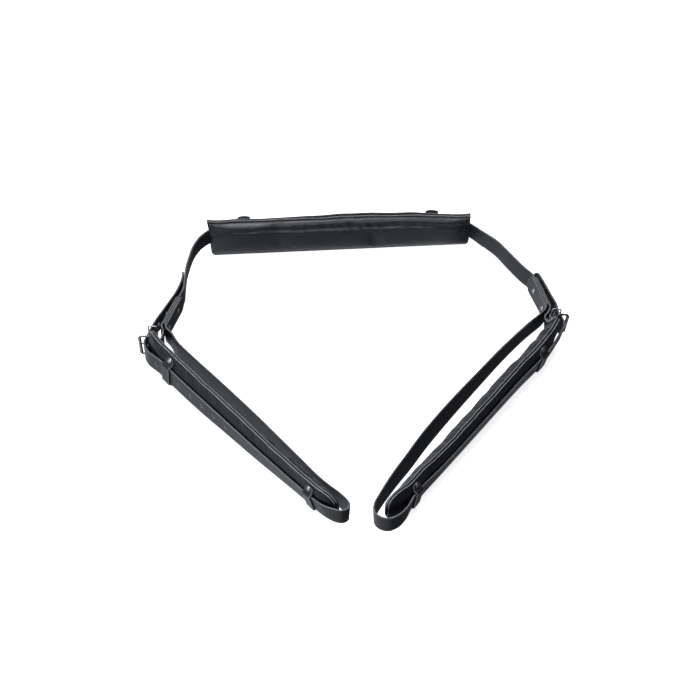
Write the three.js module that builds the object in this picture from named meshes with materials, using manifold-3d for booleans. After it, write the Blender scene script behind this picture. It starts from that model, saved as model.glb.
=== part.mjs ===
// A padded shoulder-strap harness for an accordion: two shoulder loops joined by a padded back strap.
// It stands on the lower edges of its straps. Millimetres, +X to the right, +Y to the rear, +Z up.
import * as THREE from "three";
import { mergeVertices } from "three/addons/utils/BufferGeometryUtils.js";
import Module from "manifold-3d";

// Leather straps
const STRAP_WIDTH = 24;
const STRAP_THICKNESS = 2.6;
const LAYER_GAP = 0.4;
const LAYER_PITCH = STRAP_THICKNESS + LAYER_GAP;
const HOLE_RADIUS = 2.5;
const HOLE_PITCH = 30.2;
const HOLES_BELOW_BUCKLE = 8;
const HOLES_ABOVE_BUCKLE = 3;
const TIP_LENGTH = 14;

// Riveted joint between the back strap, the long strap and the buckle strap
const JOINT_RIVETS = [14, 57];
const BACK_STRAP_STATIONS = [84, 78, 57, 28, 8];
const LOOP_STATIONS = [84, 57, 28, 8, 2];
const JOINT_DIRECTION = new THREE.Vector2(0.3, -0.954).normalize();

// Pads: two leather panels sewn together along a welt, round a foam core
const PAD_HEIGHT = 56;
const PAD_MIDDLE = PAD_HEIGHT / 2;
const PANEL_THICKNESS = 2;
const SEAM_GAP = 0.4;
const FOAM_GAP = 1.1;
const WELT_HEIGHT = 6;
const CROWN_HALF_HEIGHT = 12.5;
const STRAP_BULGE = 9;
const BODY_BULGE = 14;
const END_BULGE = 3;
const STRAP_HEIGHT_ON_PAD = PAD_MIDDLE - STRAP_WIDTH / 2;
const STRAP_CLEARANCE = 1.5;

// Keepers: short leather straps riveted to the pad over the strap
const KEEPER_WIDTH = 18;
const KEEPER_THICKNESS = 1.6;
const KEEPER_FOOT = { near: 13.6, far: 22 };
const KEEPER_RIVET_REACH = 19;

// Rivets
const SHANK_RADIUS = 1.5;
const BORE_RADIUS = 1.9;
const CAP_RADIUS = 3.9;
const CAP_HEIGHT = 2;
const REST_GAP = 0.55;

// Roller buckle and strap ring, in the strap's own directions
const WIRE_RADIUS = 1.5;
const BUCKLE_HALF_HEIGHT = 14.3;
const BUCKLE_CORNER = 2.2;
const BUCKLE_DEPTH = 14.2;
const BASE_BAR_OFFSET = 5.2;
const ROLLER_RADIUS = 2.6;
const ROLLER_BORE = 1.9;
const ROLLER_LENGTH = 24.6;
const PRONG_RADIUS = 1;
const EYE_RADIUS = 3.3;
const FOLD_THICKNESS = 1.5;
const RING_WIRE_RADIUS = 1.1;
const RING_HALF_HEIGHT = 14.9;
const RING_OUTER_BAR = -3.6;
const RING_INNER_BAR = 8.5;

// Each side's plan, with x measured outwards from the middle. A station is x, y, height of the
// lower edge, and the lean of the upper edge to the left of travel, in degrees.
const SIDES = [
  {
    name: "right",
    hand: 1,
    jointEnd: [270.8, 166.9, 1.5],
    jointLean: [8, 15],
    keepers: [0.1, 0.86],
    innerRun: [
      [266, 163, 1.5, 7],
      [259.5, 150.5, 1.5, 5],
      [247, 134, 1, 5],
      [234, 115, 0.5, 5],
      [206, 66, 0.5, 1],
      [178, 12, 0.5, -4],
      [150, -43, 0.5, -10],
      [122, -100, 0.5, -15],
      [101, -145, 0.5, -16],
      [80, -194, 0.5, -15],
      [59, -239, 0.5, -10],
      [39, -286, 0.5, -3],
    ],
    bend: [
      [31, -311, 0.8, -2],
      [31, -330, 1.5, -3],
      [38.5, -344, 2.5, -4],
      [50, -349.5, 3.5, -5],
      [62, -343, 5, -7],
      [72.5, -327, 7, -10],
    ],
    pad: [
      [44.5, -330, 0, -8],
      [56, -318, 0, -10],
      [68.5, -299, 0, -13],
      [85.3, -259, 0, -17],
      [104, -221, 0, -21],
      [158, -115, 0, -23],
      [214, -8, 0, -22],
      [243.8, 44, 0, -21],
      [262.8, 82, 0, -19],
      [274, 111, 0, -18],
    ],
    upperRun: [
      [284.5, 98, 10.5, -18],
      [288.6, 112, 9.5, -18],
      [288.4, 124, 8.6, -17],
    ],
    buckle: [286, 134.5, 8, -16],
    ring: [281.6, 149, 6.4, -15],
    tail: [
      [279, 170, 4.5, -15],
      [271.3, 196, 2.5, -15],
      [262.2, 225, 2, -15],
      [254.7, 246, 2, -15],
      [250, 257, 2, -15],
    ],
    hook: [
      [272, 156, 1.5, 4],
      [268.5, 146, 1.5, 1],
      [270.6, 137.5, 2, -2],
      [274.2, 132.5, 2.6, -7],
    ],
  },
  {
    name: "left",
    hand: -1,
    jointEnd: [264.8, 120.2, 1],
    jointLean: [3, 4],
    keepers: [0.09, 0.85],
    innerRun: [
      [260.5, 117.5, 1, 2],
      [254, 105, 0.8, 0],
      [246.5, 83, 0.5, -2],
      [232.5, 58, 0.5, -3],
      [217.5, 34, 0.5, -3],
      [189.5, -10, 0.5, -3],
      [161.5, -55, 0.5, -3],
      [133.5, -101, 0.5, -3],
      [105.5, -149, 0.5, -3],
      [77.5, -197, 0.5, -3],
      [49.5, -245, 0.5, -3],
      [35, -268, 2, -3],
    ],
    bend: [
      [20.5, -290, 4.5, -3],
      [10.5, -311, 8, -3],
      [6.5, -326, 10.5, -4],
      [8.5, -337, 11.5, -5],
      [16.5, -342, 12, -6],
      [25.5, -338, 12, -8],
      [37.5, -327.5, 12.5, -15],
    ],
    pad: [
      [18.5, -325.5, 0, -12],
      [33, -308, 0, -17],
      [58, -267, 0, -20],
      [120, -183, 0, -13],
      [181, -97, 0, -6],
      [211, -53, 0, -4],
      [257, 22, 0, -3],
      [271.8, 49, 0, -3],
      [281, 71.5, 0, -3],
    ],
    upperRun: [
      [285, 43, 13, -5],
      [289, 57, 12, -6],
      [289.5, 70, 11, -7],
    ],
    buckle: [287, 80.5, 8.5, -8],
    ring: [280.6, 109, 5.5, -6],
    tail: [
      [275, 131, 3.8, -4],
      [265, 158, 2.5, -3],
      [254.5, 185, 2, -2],
      [246.6, 207, 1.5, -1],
      [239.6, 236, 1.5, 0],
      [237.8, 262, 1.5, 0],
    ],
    hook: [
      [265, 110, 1.5, 2],
      [267, 98, 2, 0],
      [270, 88.5, 3, -3],
      [275, 82.5, 3.6, -6],
    ],
  },
];

// The back strap between each joint and the back pad, from left to right in true x
const BACK_STRAP_LEFT = [
  [-236.2, 214, 0.8, 3],
  [-235, 237, 0.8, 2],
  [-233, 268, 0.8, 1],
  [-229.5, 290, 1, 0],
  [-223, 316, 3, 0],
  [-212.5, 332.5, 8, 0],
  [-198, 341, 13, 0],
];
const BACK_STRAP_RIGHT = [
  [149, 370.5, 10, -2],
  [163.5, 366.5, 4, 2],
  [178, 353.5, 0.8, 5],
  [199, 327, 0.8, 10],
  [217.5, 293, 0.8, 14],
  [235, 262.5, 1, 15],
];

// The back pad's welt line, from left to right in true x
const BACK_PAD = [
  [-203, 331, 0, 0],
  [-160, 334.3, 0, 0],
  [-60, 342, 0, 0],
  [60, 351.5, 0, -2],
  [120, 356, 0, -8],
  [163, 359.5, 0, -13],
];

// Middle of the whole harness in plan, moved to the origin
const PLAN_MIDDLE = { x: 1.3, y: 9.45 };

const BLACK_LEATHER = { color: 0x2b2d31, roughness: 0.5, metalness: 0 };
const PAD_LEATHER = { color: 0x232529, roughness: 0.42, metalness: 0 };
const FOAM = { color: 0x3a3a3c, roughness: 0.95, metalness: 0 };
const DARK_NICKEL = { color: 0x8a878c, roughness: 0.28, metalness: 1 };

const wasm = await Module();
wasm.setup();

const radians = THREE.MathUtils.degToRad;
const product = new THREE.Group();

function addPiece(group, name, geometry, finish) {
  const mesh = new THREE.Mesh(geometry, new THREE.MeshStandardMaterial(finish));
  mesh.name = name;
  group.add(mesh);
  return mesh;
}

// ---------------------------------------------------------------- solids and cuts

function signedVolume(geometry) {
  const { position } = geometry.attributes;
  const corners = [new THREE.Vector3(), new THREE.Vector3(), new THREE.Vector3()];
  let volume = 0;
  for (let i = 0; i < geometry.index.count; i += 3) {
    corners.forEach((corner, k) => corner.fromBufferAttribute(position, geometry.index.getX(i + k)));
    volume += corners[0].dot(corners[1].cross(corners[2])) / 6;
  }
  return volume;
}

function toSolid(geometry) {
  const bare = geometry.clone();
  bare.deleteAttribute("normal");
  bare.deleteAttribute("uv");
  const merged = mergeVertices(bare, 1e-4);
  return new wasm.Manifold(
    new wasm.Mesh({
      numProp: 3,
      vertProperties: merged.attributes.position.array,
      triVerts: new Uint32Array(merged.index.array),
    }),
  );
}

function toGeometry(solid) {
  const { vertProperties, triVerts } = solid.getMesh();
  const geometry = new THREE.BufferGeometry();
  geometry.setAttribute("position", new THREE.BufferAttribute(vertProperties, 3));
  geometry.setIndex(new THREE.BufferAttribute(triVerts, 1));
  geometry.computeVertexNormals();
  return geometry;
}

// A mirrored geometry with its faces turned the right way out again.
function turnedOut(geometry) {
  return geometry.setIndex([...geometry.index.array].reverse());
}

function cut(geometry, tools) {
  return toGeometry(tools.reduce((solid, tool) => solid.subtract(toSolid(tool)), toSolid(geometry)));
}

function join(geometries) {
  return toGeometry(geometries.map(toSolid).reduce((all, solid) => all.add(solid)));
}

// A skin over rings of points. The two ends are closed with the given flat outlines, or the
// rings form a closed loop when there are none.
function skin(rings, firstOutline, lastOutline) {
  const size = rings[0].length;
  const faces = [];
  const isLoop = !firstOutline;
  const spans = isLoop ? rings.length : rings.length - 1;
  for (let i = 0; i < spans; i++) {
    const here = i * size;
    const next = ((i + 1) % rings.length) * size;
    for (let j = 0; j < size; j++) {
      const k = (j + 1) % size;
      faces.push(here + j, here + k, next + k, here + j, next + k, next + j);
    }
  }
  if (!isLoop) {
    const last = (rings.length - 1) * size;
    const isClockwise = THREE.ShapeUtils.isClockWise(firstOutline);
    for (const [a, b, c] of THREE.ShapeUtils.triangulateShape(firstOutline, [])) {
      faces.push(...(isClockwise ? [a, b, c] : [a, c, b]));
    }
    for (const [a, b, c] of THREE.ShapeUtils.triangulateShape(lastOutline, [])) {
      faces.push(...(isClockwise ? [last + a, last + c, last + b] : [last + a, last + b, last + c]));
    }
    if (isClockwise) faces.reverse();
  }
  const geometry = new THREE.BufferGeometry().setFromPoints(rings.flat());
  geometry.setIndex(faces);
  if (signedVolume(geometry) < 0) geometry.setIndex(faces.reverse());
  geometry.computeVertexNormals();
  return geometry;
}

// ---------------------------------------------------------------- ribbons

function leftOf(along) {
  return new THREE.Vector3(-along.y, along.x, 0).normalize();
}

function leaningUp(left, lean) {
  const up = new THREE.Vector3(0, 0, Math.cos(radians(lean)));
  return up.addScaledVector(left, Math.sin(radians(lean)));
}

// A ribbon is a ruled strip between a lower and an upper edge. Points on it are given by the
// fraction u of its length, n to the left of travel and h up the leaning height. A station is
// x, y, z of the lower edge and the lean, or the lower and upper points themselves.
class Ribbon {
  constructor(stations) {
    const feet = stations.map((station) => station.foot ?? new THREE.Vector3(...station.slice(0, 3)));
    this.lower = new THREE.CatmullRomCurve3(feet, false, "centripetal");
    this.lower.arcLengthDivisions = 2000;
    this.length = this.lower.getLength();
    const heads = stations.map((station, i) => {
      if (station.head) return station.head;
      const left = leftOf(this.lower.getTangent(i / (stations.length - 1)));
      return feet[i].clone().addScaledVector(leaningUp(left, station[3]), STRAP_WIDTH);
    });
    this.upper = new THREE.CatmullRomCurve3(heads, false, "centripetal");
  }

  frame(u) {
    const t = this.lower.getUtoTmapping(u);
    const origin = this.lower.getPoint(t);
    const up = this.upper.getPoint(t).sub(origin).normalize();
    const along = this.lower.getTangent(t);
    along.addScaledVector(up, -along.dot(up)).normalize();
    const side = new THREE.Vector3().crossVectors(up, along);
    return { origin, along, side, up };
  }

  point(u, n, h) {
    const { origin, side, up } = this.frame(u);
    return origin.addScaledVector(side, n).addScaledVector(up, h);
  }

  // Local directions at u: x along the ribbon, y to its left, z up its height.
  matrix(u, n, h) {
    const { along, side, up } = this.frame(u);
    return new THREE.Matrix4().makeBasis(along, side, up).setPosition(this.point(u, n, h));
  }

  // A station of another ribbon that runs beside this one.
  station(u, n, h) {
    const foot = this.point(u, n, h);
    return { foot, head: foot.clone().addScaledVector(this.frame(u).up, STRAP_WIDTH) };
  }

  nearest(x, y) {
    const target = new THREE.Vector2(x, y);
    const steps = Math.round(this.length);
    let best = 0;
    let shortest = Infinity;
    for (let i = 0; i <= steps; i++) {
      const { x: px, y: py } = this.lower.getPointAt(i / steps);
      const distance = target.distanceTo(new THREE.Vector2(px, py));
      if (distance < shortest) [best, shortest] = [i / steps, distance];
    }
    return best;
  }

  // Fractions from one place to another, close together where the ribbon bends or twists.
  stops(from, to, longest) {
    const count = Math.ceil(((to - from) * this.length) / 1.5);
    const stops = [from];
    let last = this.frame(from);
    for (let i = 1; i < count; i++) {
      const u = from + ((to - from) * i) / count;
      const here = this.frame(u);
      const turn = Math.max(here.along.angleTo(last.along), here.up.angleTo(last.up));
      const isDue = (u - stops.at(-1)) * this.length >= longest || turn > radians(6);
      if (!isDue) continue;
      stops.push(u);
      last = here;
    }
    return [...stops, to];
  }

  sweep(stops, outlineAt) {
    const outlines = stops.map(outlineAt);
    const rings = outlines.map((outline, i) => outline.map(({ x, y }) => this.point(stops[i], x, y)));
    return skin(rings, outlines[0], outlines.at(-1));
  }
}

function rectangle(n0, n1, h0, h1) {
  return [
    new THREE.Vector2(n0, h0),
    new THREE.Vector2(n1, h0),
    new THREE.Vector2(n1, h1),
    new THREE.Vector2(n0, h1),
  ];
}

// A strap with plain or rounded ends. It is double from foldAt on, where its end folds back.
function strap(ribbon, roundStart, roundEnd, foldAt = 1) {
  const half = STRAP_WIDTH / 2;
  const tip = TIP_LENGTH / ribbon.length;
  const ends = [0.02, 0.12, 0.3, 0.6].map((part) => part * tip);
  const middle = ribbon.stops(roundStart ? tip : 0, roundEnd ? 1 - tip : 1, 20);
  const stops = [
    ...(roundStart ? ends : []),
    ...middle,
    ...(roundEnd ? ends.map((end) => 1 - end).reverse() : []),
  ];
  return ribbon.sweep(stops, (u) => {
    const startPart = roundStart ? Math.min(u / tip, 1) : 1;
    const endPart = roundEnd ? Math.min((1 - u) / tip, 1) : 1;
    const part = Math.min(startPart, endPart);
    const reach = half * Math.max(Math.sqrt(1 - (1 - part) ** 2), 0.2);
    const side = STRAP_THICKNESS / 2;
    const fold = u > foldAt ? FOLD_THICKNESS : 0;
    return rectangle(-side, side + fold, half - reach, half + reach);
  });
}

// A cylinder across a ribbon, from n0 to n1.
function crossPin(ribbon, u, h, n0, n1, radius) {
  const pin = new THREE.CylinderGeometry(radius, radius, n1 - n0, 10);
  return pin.applyMatrix4(ribbon.matrix(u, (n0 + n1) / 2, h));
}

// ---------------------------------------------------------------- rivets

// A rivet along y: its cap sits on +y at y = 0, and its tail is at -grip, flared or plain.
function rivetGeometry(grip, tailRadius, tailHeight) {
  const tail = [
    [0, -grip - tailHeight],
    [tailRadius * 0.8, -grip - tailHeight],
    [tailRadius, -grip],
    [SHANK_RADIUS, -grip],
  ];
  const plainTail = [
    [0, -grip],
    [SHANK_RADIUS, -grip],
  ];
  const cap = [
    [SHANK_RADIUS, 0],
    [CAP_RADIUS, 0],
    [CAP_RADIUS * 0.7, CAP_HEIGHT * 0.75],
    [0, CAP_HEIGHT],
  ];
  const profile = [...(tailHeight > 0 ? tail : plainTail), ...cap];
  return new THREE.LatheGeometry(
    profile.map(([x, y]) => new THREE.Vector2(x, y)),
    10,
  );
}

// ---------------------------------------------------------------- pads

// How full the pad is at a distance from its nearer end: 0 at the very end, 1 where it is whole.
function fullness(distance, reach) {
  const part = Math.min(distance / reach, 1);
  return Math.sqrt(1 - (1 - part) ** 2);
}

// The outline at each end is an arc of the given rounding that is cut off bluntly short of its tip.
function padSection(pad, u) {
  const distance = Math.min(u, 1 - u) * pad.ribbon.length;
  const { blunt, rounding } = u < 0.5 ? pad.lowEnd : pad.highEnd;
  const height = Math.max(PAD_MIDDLE * fullness(distance + blunt, rounding), 9);
  const swell = fullness(distance, pad.taper);
  return { half: Math.min(height, PAD_MIDDLE), swell };
}

// Half of a pad's outline from the lower welt to the upper one, on one side of the seam.
function bulgeLine(half, bulge, edge, welt) {
  const rise = half - Math.min(welt, half * 0.3);
  const crown = Math.min((CROWN_HALF_HEIGHT * half) / PAD_MIDDLE, rise - 2);
  return [
    new THREE.Vector2(edge, -half),
    new THREE.Vector2(edge, -rise),
    new THREE.Vector2(bulge, -crown),
    new THREE.Vector2(bulge, crown),
    new THREE.Vector2(edge, rise),
    new THREE.Vector2(edge, half),
  ];
}

function bulgeOf(fullBulge, swell) {
  return END_BULGE + (fullBulge - END_BULGE) * swell;
}

function panelOutline(pad, u, direction, fullBulge) {
  const { half, swell } = padSection(pad, u);
  const inner = SEAM_GAP / 2;
  const bulge = bulgeOf(fullBulge, swell);
  const outside = bulgeLine(half, bulge, inner + PANEL_THICKNESS, WELT_HEIGHT);
  const inside = bulgeLine(half, bulge - PANEL_THICKNESS, inner, WELT_HEIGHT + PANEL_THICKNESS);
  return [...outside, ...inside.reverse()].map(
    ({ x, y }) => new THREE.Vector2(x * direction, y + PAD_MIDDLE),
  );
}

function foamOutline(pad, u) {
  const { half, swell } = padSection(pad, u);
  const wrap = PANEL_THICKNESS + FOAM_GAP;
  const [strapSide, bodySide] = [STRAP_BULGE, BODY_BULGE].map((bulge) =>
    bulgeLine(half - FOAM_GAP, bulgeOf(bulge, swell) - wrap, 0, WELT_HEIGHT + PANEL_THICKNESS),
  );
  const farCrown = bodySide.slice(2, 4).reverse();
  const outline = [...strapSide.slice(1, 5), ...farCrown.map(({ x, y }) => new THREE.Vector2(-x, y))];
  return outline.map(({ x, y }) => new THREE.Vector2(x * pad.strapSide, y + PAD_MIDDLE));
}

// Places along a pad, close together near its ends where the shape changes.
function padStops(pad) {
  const near = [0, 4, 10, 20].map((distance) => distance / pad.ribbon.length);
  const half = KEEPER_WIDTH / 2 / pad.ribbon.length;
  const [first, second] = pad.keepers;
  return [
    ...near,
    first - half,
    ...pad.ribbon.stops(first + half, second - half, 40),
    second + half,
    ...near.reverse().map((end) => 1 - end),
  ];
}

// The level of the strap's middle plane beside the pad, measured from the seam.
function strapOffset(pad, u) {
  const { swell } = padSection(pad, u);
  return (bulgeOf(STRAP_BULGE, swell) + STRAP_CLEARANCE + STRAP_THICKNESS / 2) * pad.strapSide;
}

// Stations of the strap that runs along the pad.
function stationsBeside(pad, places) {
  return places.map((u) => pad.ribbon.station(u, strapOffset(pad, u), STRAP_HEIGHT_ON_PAD));
}

// A leaning pad raised so that its welt's lower corner just stands on the ground.
function standing(stations) {
  const halfWelt = SEAM_GAP / 2 + PANEL_THICKNESS;
  return stations.map(([x, y, z, lean]) => [x, y, z + halfWelt * Math.abs(Math.sin(radians(lean))), lean]);
}

// A place on the sloping face of the strap-side panel: reach is its height above the pad's
// middle, and rise its distance from the leather. The lower face mirrors the upper one.
function slopePlace(pad, u, reach, rise) {
  const { half, swell } = padSection(pad, u);
  const line = bulgeLine(half, bulgeOf(STRAP_BULGE, swell), SEAM_GAP / 2 + PANEL_THICKNESS, WELT_HEIGHT);
  const [crown, welt] = [line[3], line[4]];
  const slope = welt.clone().sub(crown);
  const normal = new THREE.Vector2(slope.y, -slope.x).normalize();
  const place = crown.clone().addScaledVector(slope, (reach - crown.y) / slope.y);
  return { place: place.addScaledVector(normal, rise), normal };
}

// A keeper's outline: its two feet lie on the sloping faces and its bridge stands over the strap.
function keeperOutline(pad, u) {
  const lid = Math.abs(strapOffset(pad, u)) + STRAP_THICKNESS / 2 + STRAP_CLEARANCE;
  const { near, far } = KEEPER_FOOT;
  const top = REST_GAP + KEEPER_THICKNESS;
  const upper = [
    slopePlace(pad, u, far, REST_GAP).place,
    slopePlace(pad, u, near, REST_GAP).place,
    new THREE.Vector2(lid, near),
    new THREE.Vector2(lid + KEEPER_THICKNESS, near + KEEPER_THICKNESS - 0.2),
    slopePlace(pad, u, near + KEEPER_THICKNESS, top).place,
    slopePlace(pad, u, far, top).place,
  ];
  const lower = upper.map(({ x, y }) => new THREE.Vector2(x, -y));
  const outline = [...upper.slice(0, 3), ...lower.slice(0, 3).reverse(), ...lower.slice(3).reverse()];
  outline.push(...upper.slice(3));
  return outline.map(({ x, y }) => new THREE.Vector2(x * pad.strapSide, y + PAD_MIDDLE));
}

// Local directions of a keeper rivet: y points out of the sloping face.
function rivetMatrix(pad, u, sign, rise) {
  const { place, normal } = slopePlace(pad, u, KEEPER_RIVET_REACH, rise);
  const { along, side, up } = pad.ribbon.frame(u);
  const out = side.multiplyScalar(normal.x * pad.strapSide).addScaledVector(up, normal.y * sign);
  const seat = pad.ribbon.point(u, place.x * pad.strapSide, PAD_MIDDLE + place.y * sign);
  const across = new THREE.Vector3().crossVectors(along, out);
  return new THREE.Matrix4().makeBasis(along, out, across).setPosition(seat);
}

function addPad(group, prefix, pad) {
  const { ribbon, strapSide } = pad;
  const half = KEEPER_WIDTH / 2 / ribbon.length;
  const stack = KEEPER_THICKNESS + 2 * REST_GAP;
  const bores = [];
  pad.keepers.forEach((u, i) => {
    const label = `${prefix}_keeper_${pad.keeperNames[i]}`;
    const body = ribbon.sweep([u - half, u + half], (at) => keeperOutline(pad, at));
    const holes = [-1, 1].map((sign) => {
      const bore = new THREE.CylinderGeometry(BORE_RADIUS, BORE_RADIUS, 12, 10);
      return bore.applyMatrix4(rivetMatrix(pad, u, sign, 0));
    });
    addPiece(group, label, cut(body, holes), BLACK_LEATHER);
    for (const [end, sign] of [["lower", -1], ["upper", 1]]) {
      const rivet = rivetGeometry(stack + PANEL_THICKNESS, SHANK_RADIUS, 0);
      const mesh = addPiece(group, `${label}_rivet_${end}`, rivet, DARK_NICKEL);
      mesh.applyMatrix4(rivetMatrix(pad, u, sign, stack));
    }
    bores.push(...holes);
  });
  const stops = padStops(pad);
  const strapPanel = ribbon.sweep(stops, (u) => panelOutline(pad, u, strapSide, STRAP_BULGE));
  const bodyPanel = ribbon.sweep(stops, (u) => panelOutline(pad, u, -strapSide, BODY_BULGE));
  const foam = ribbon.sweep(stops.slice(2, -2), (u) => foamOutline(pad, u));
  addPiece(group, `${prefix}_outer_panel`, cut(strapPanel, bores), PAD_LEATHER);
  addPiece(group, `${prefix}_body_panel`, bodyPanel, PAD_LEATHER);
  addPiece(group, `${prefix}_foam`, foam, FOAM);
}

// ---------------------------------------------------------------- joints at the shoulders

// A station on the riveted joint: s back from its lower end, n outwards from the back strap.
function jointStation(side, s, n) {
  const normal = new THREE.Vector3(-JOINT_DIRECTION.y, JOINT_DIRECTION.x, 0);
  const [low, high] = side.jointLean;
  const lean = low + (high - low) * Math.min(s / JOINT_RIVETS[1], 1);
  const up = leaningUp(normal, lean);
  const across = leaningUp(normal, lean + 90);
  const foot = new THREE.Vector3(...side.jointEnd);
  foot.add(new THREE.Vector3(-JOINT_DIRECTION.x * s, -JOINT_DIRECTION.y * s, 0));
  foot.addScaledVector(across, n);
  return { foot, head: foot.clone().addScaledVector(up, STRAP_WIDTH) };
}

// Local directions of a joint rivet: y points outwards through the three layers.
function jointMatrix(side, s, n) {
  const { foot, head } = jointStation(side, s, n);
  const up = head.clone().sub(foot).normalize();
  const along = new THREE.Vector3(JOINT_DIRECTION.x, JOINT_DIRECTION.y, 0);
  const out = new THREE.Vector3().crossVectors(up, along);
  return new THREE.Matrix4().makeBasis(along, out, up).setPosition(foot.add(head).multiplyScalar(0.5));
}

function jointBores(side) {
  return JOINT_RIVETS.map((s) => {
    const bore = new THREE.CylinderGeometry(BORE_RADIUS, BORE_RADIUS, 14, 10);
    return bore.applyMatrix4(jointMatrix(side, s, 0));
  });
}

function longStrapRibbon(side, pad) {
  return new Ribbon([
    ...LOOP_STATIONS.map((s) => jointStation(side, s, -LAYER_PITCH)),
    ...side.innerRun,
    ...side.bend,
    ...stationsBeside(pad, [0.08, 0.14, 0.25, 0.38, 0.5, 0.62, 0.75, 0.83, 0.89]),
    ...side.upperRun,
    side.buckle,
    side.ring,
    ...side.tail,
  ]);
}

// ---------------------------------------------------------------- metal fittings

// A closed wire loop in the y-z plane: a rectangle with rounded corners.
function wireLoop(y0, y1, halfHeight, corner, wire) {
  const path = [];
  const corners = [
    [y1 - corner, halfHeight - corner, 0],
    [y0 + corner, halfHeight - corner, 90],
    [y0 + corner, corner - halfHeight, 180],
    [y1 - corner, corner - halfHeight, 270],
  ];
  for (const [y, z, start] of corners) {
    for (let i = 0; i <= 2; i++) {
      const angle = radians(start + i * 45);
      path.push({ y: y + corner * Math.cos(angle), z: z + corner * Math.sin(angle), angle });
    }
  }
  const rings = path.map(({ y, z, angle }) =>
    Array.from({ length: 8 }, (_, k) => {
      const turn = (k * Math.PI) / 4;
      const out = wire * Math.cos(turn);
      return new THREE.Vector3(wire * Math.sin(turn), y + out * Math.cos(angle), z + out * Math.sin(angle));
    }),
  );
  return skin(rings);
}

function rollerGeometry() {
  const half = ROLLER_LENGTH / 2;
  const profile = [
    [ROLLER_BORE, -half],
    [ROLLER_RADIUS, -half],
    [ROLLER_RADIUS, half],
    [ROLLER_BORE, half],
    [ROLLER_BORE, -half],
  ];
  const roller = new THREE.LatheGeometry(
    profile.map(([x, y]) => new THREE.Vector2(x, y)),
    14,
  );
  return roller.rotateX(Math.PI / 2);
}

// The prong: an eye round the base bar, and a pin across the strap that lies on the roller.
function prongGeometry(baseY, rollerY) {
  const inner = WIRE_RADIUS + 0.4;
  const eye = new THREE.LatheGeometry(
    [
      [inner, -1.6],
      [inner + 1.3, -1.6],
      [inner + 1.3, 1.6],
      [inner, 1.6],
      [inner, -1.6],
    ].map(([x, y]) => new THREE.Vector2(x, y)),
    14,
  );
  eye.rotateX(Math.PI / 2).translate(0, baseY, 0);
  const lift = ROLLER_RADIUS + PRONG_RADIUS + 0.4;
  const path = new THREE.CatmullRomCurve3([
    new THREE.Vector3(0, baseY - inner - 0.5, 0),
    new THREE.Vector3(-0.4, 0, 0),
    new THREE.Vector3(lift - 1, rollerY + 4, 0),
    new THREE.Vector3(lift, rollerY, 0),
    new THREE.Vector3(lift - 0.4, rollerY - 2, 0),
  ]);
  const section = new THREE.Shape().absarc(0, 0, PRONG_RADIUS, 0, Math.PI * 2);
  const pin = new THREE.ExtrudeGeometry(section, { extrudePath: path, steps: 8, curveSegments: 4 });
  return join([eye, pin]);
}

function addFittings(group, name, ribbon, buckleU, ringU) {
  const middle = STRAP_WIDTH / 2;
  const rollerY = BASE_BAR_OFFSET - BUCKLE_DEPTH;
  const atBuckle = ribbon.matrix(buckleU, 0, middle);
  const frame = wireLoop(rollerY, BASE_BAR_OFFSET, BUCKLE_HALF_HEIGHT, BUCKLE_CORNER, WIRE_RADIUS);
  addPiece(group, `${name}_buckle_frame`, frame, DARK_NICKEL).applyMatrix4(atBuckle);
  const roller = rollerGeometry().translate(0, rollerY, 0);
  addPiece(group, `${name}_buckle_roller`, roller, DARK_NICKEL).applyMatrix4(atBuckle);
  const prong = prongGeometry(BASE_BAR_OFFSET, rollerY);
  addPiece(group, `${name}_buckle_prong`, prong, DARK_NICKEL).applyMatrix4(atBuckle);
  const ring = wireLoop(RING_OUTER_BAR, RING_INNER_BAR, RING_HALF_HEIGHT, 2.2, RING_WIRE_RADIUS);
  addPiece(group, `${name}_strap_ring`, ring, DARK_NICKEL).applyMatrix4(ribbon.matrix(ringU, 0, middle));
}

// ---------------------------------------------------------------- one side of the harness

// The buckle strap: riveted to the back strap, hooked round to the buckle's base bar, where its
// end is folded into an eye with a slot for the prong.
function buckleStrap(side, longStrap, buckleU) {
  const ribbon = new Ribbon([
    ...LOOP_STATIONS.map((s) => jointStation(side, s, LAYER_PITCH)),
    ...side.hook,
    longStrap.station(buckleU, BASE_BAR_OFFSET, 0),
  ]);
  const turn = longStrap.matrix(buckleU, BASE_BAR_OFFSET, STRAP_WIDTH / 2);
  const eye = new THREE.CylinderGeometry(EYE_RADIUS, EYE_RADIUS, STRAP_WIDTH, 16).rotateX(Math.PI / 2);
  const bore = new THREE.CylinderGeometry(ROLLER_BORE, ROLLER_BORE, STRAP_WIDTH * 2, 16).rotateX(Math.PI / 2);
  const slot = new THREE.BoxGeometry(13, 13, 4.6).translate(0, -0.6, 0);
  const body = join([strap(ribbon, true, false, 0.9), eye.applyMatrix4(turn)]);
  return cut(body, [...jointBores(side), bore.applyMatrix4(turn), slot.applyMatrix4(turn)]);
}

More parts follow.
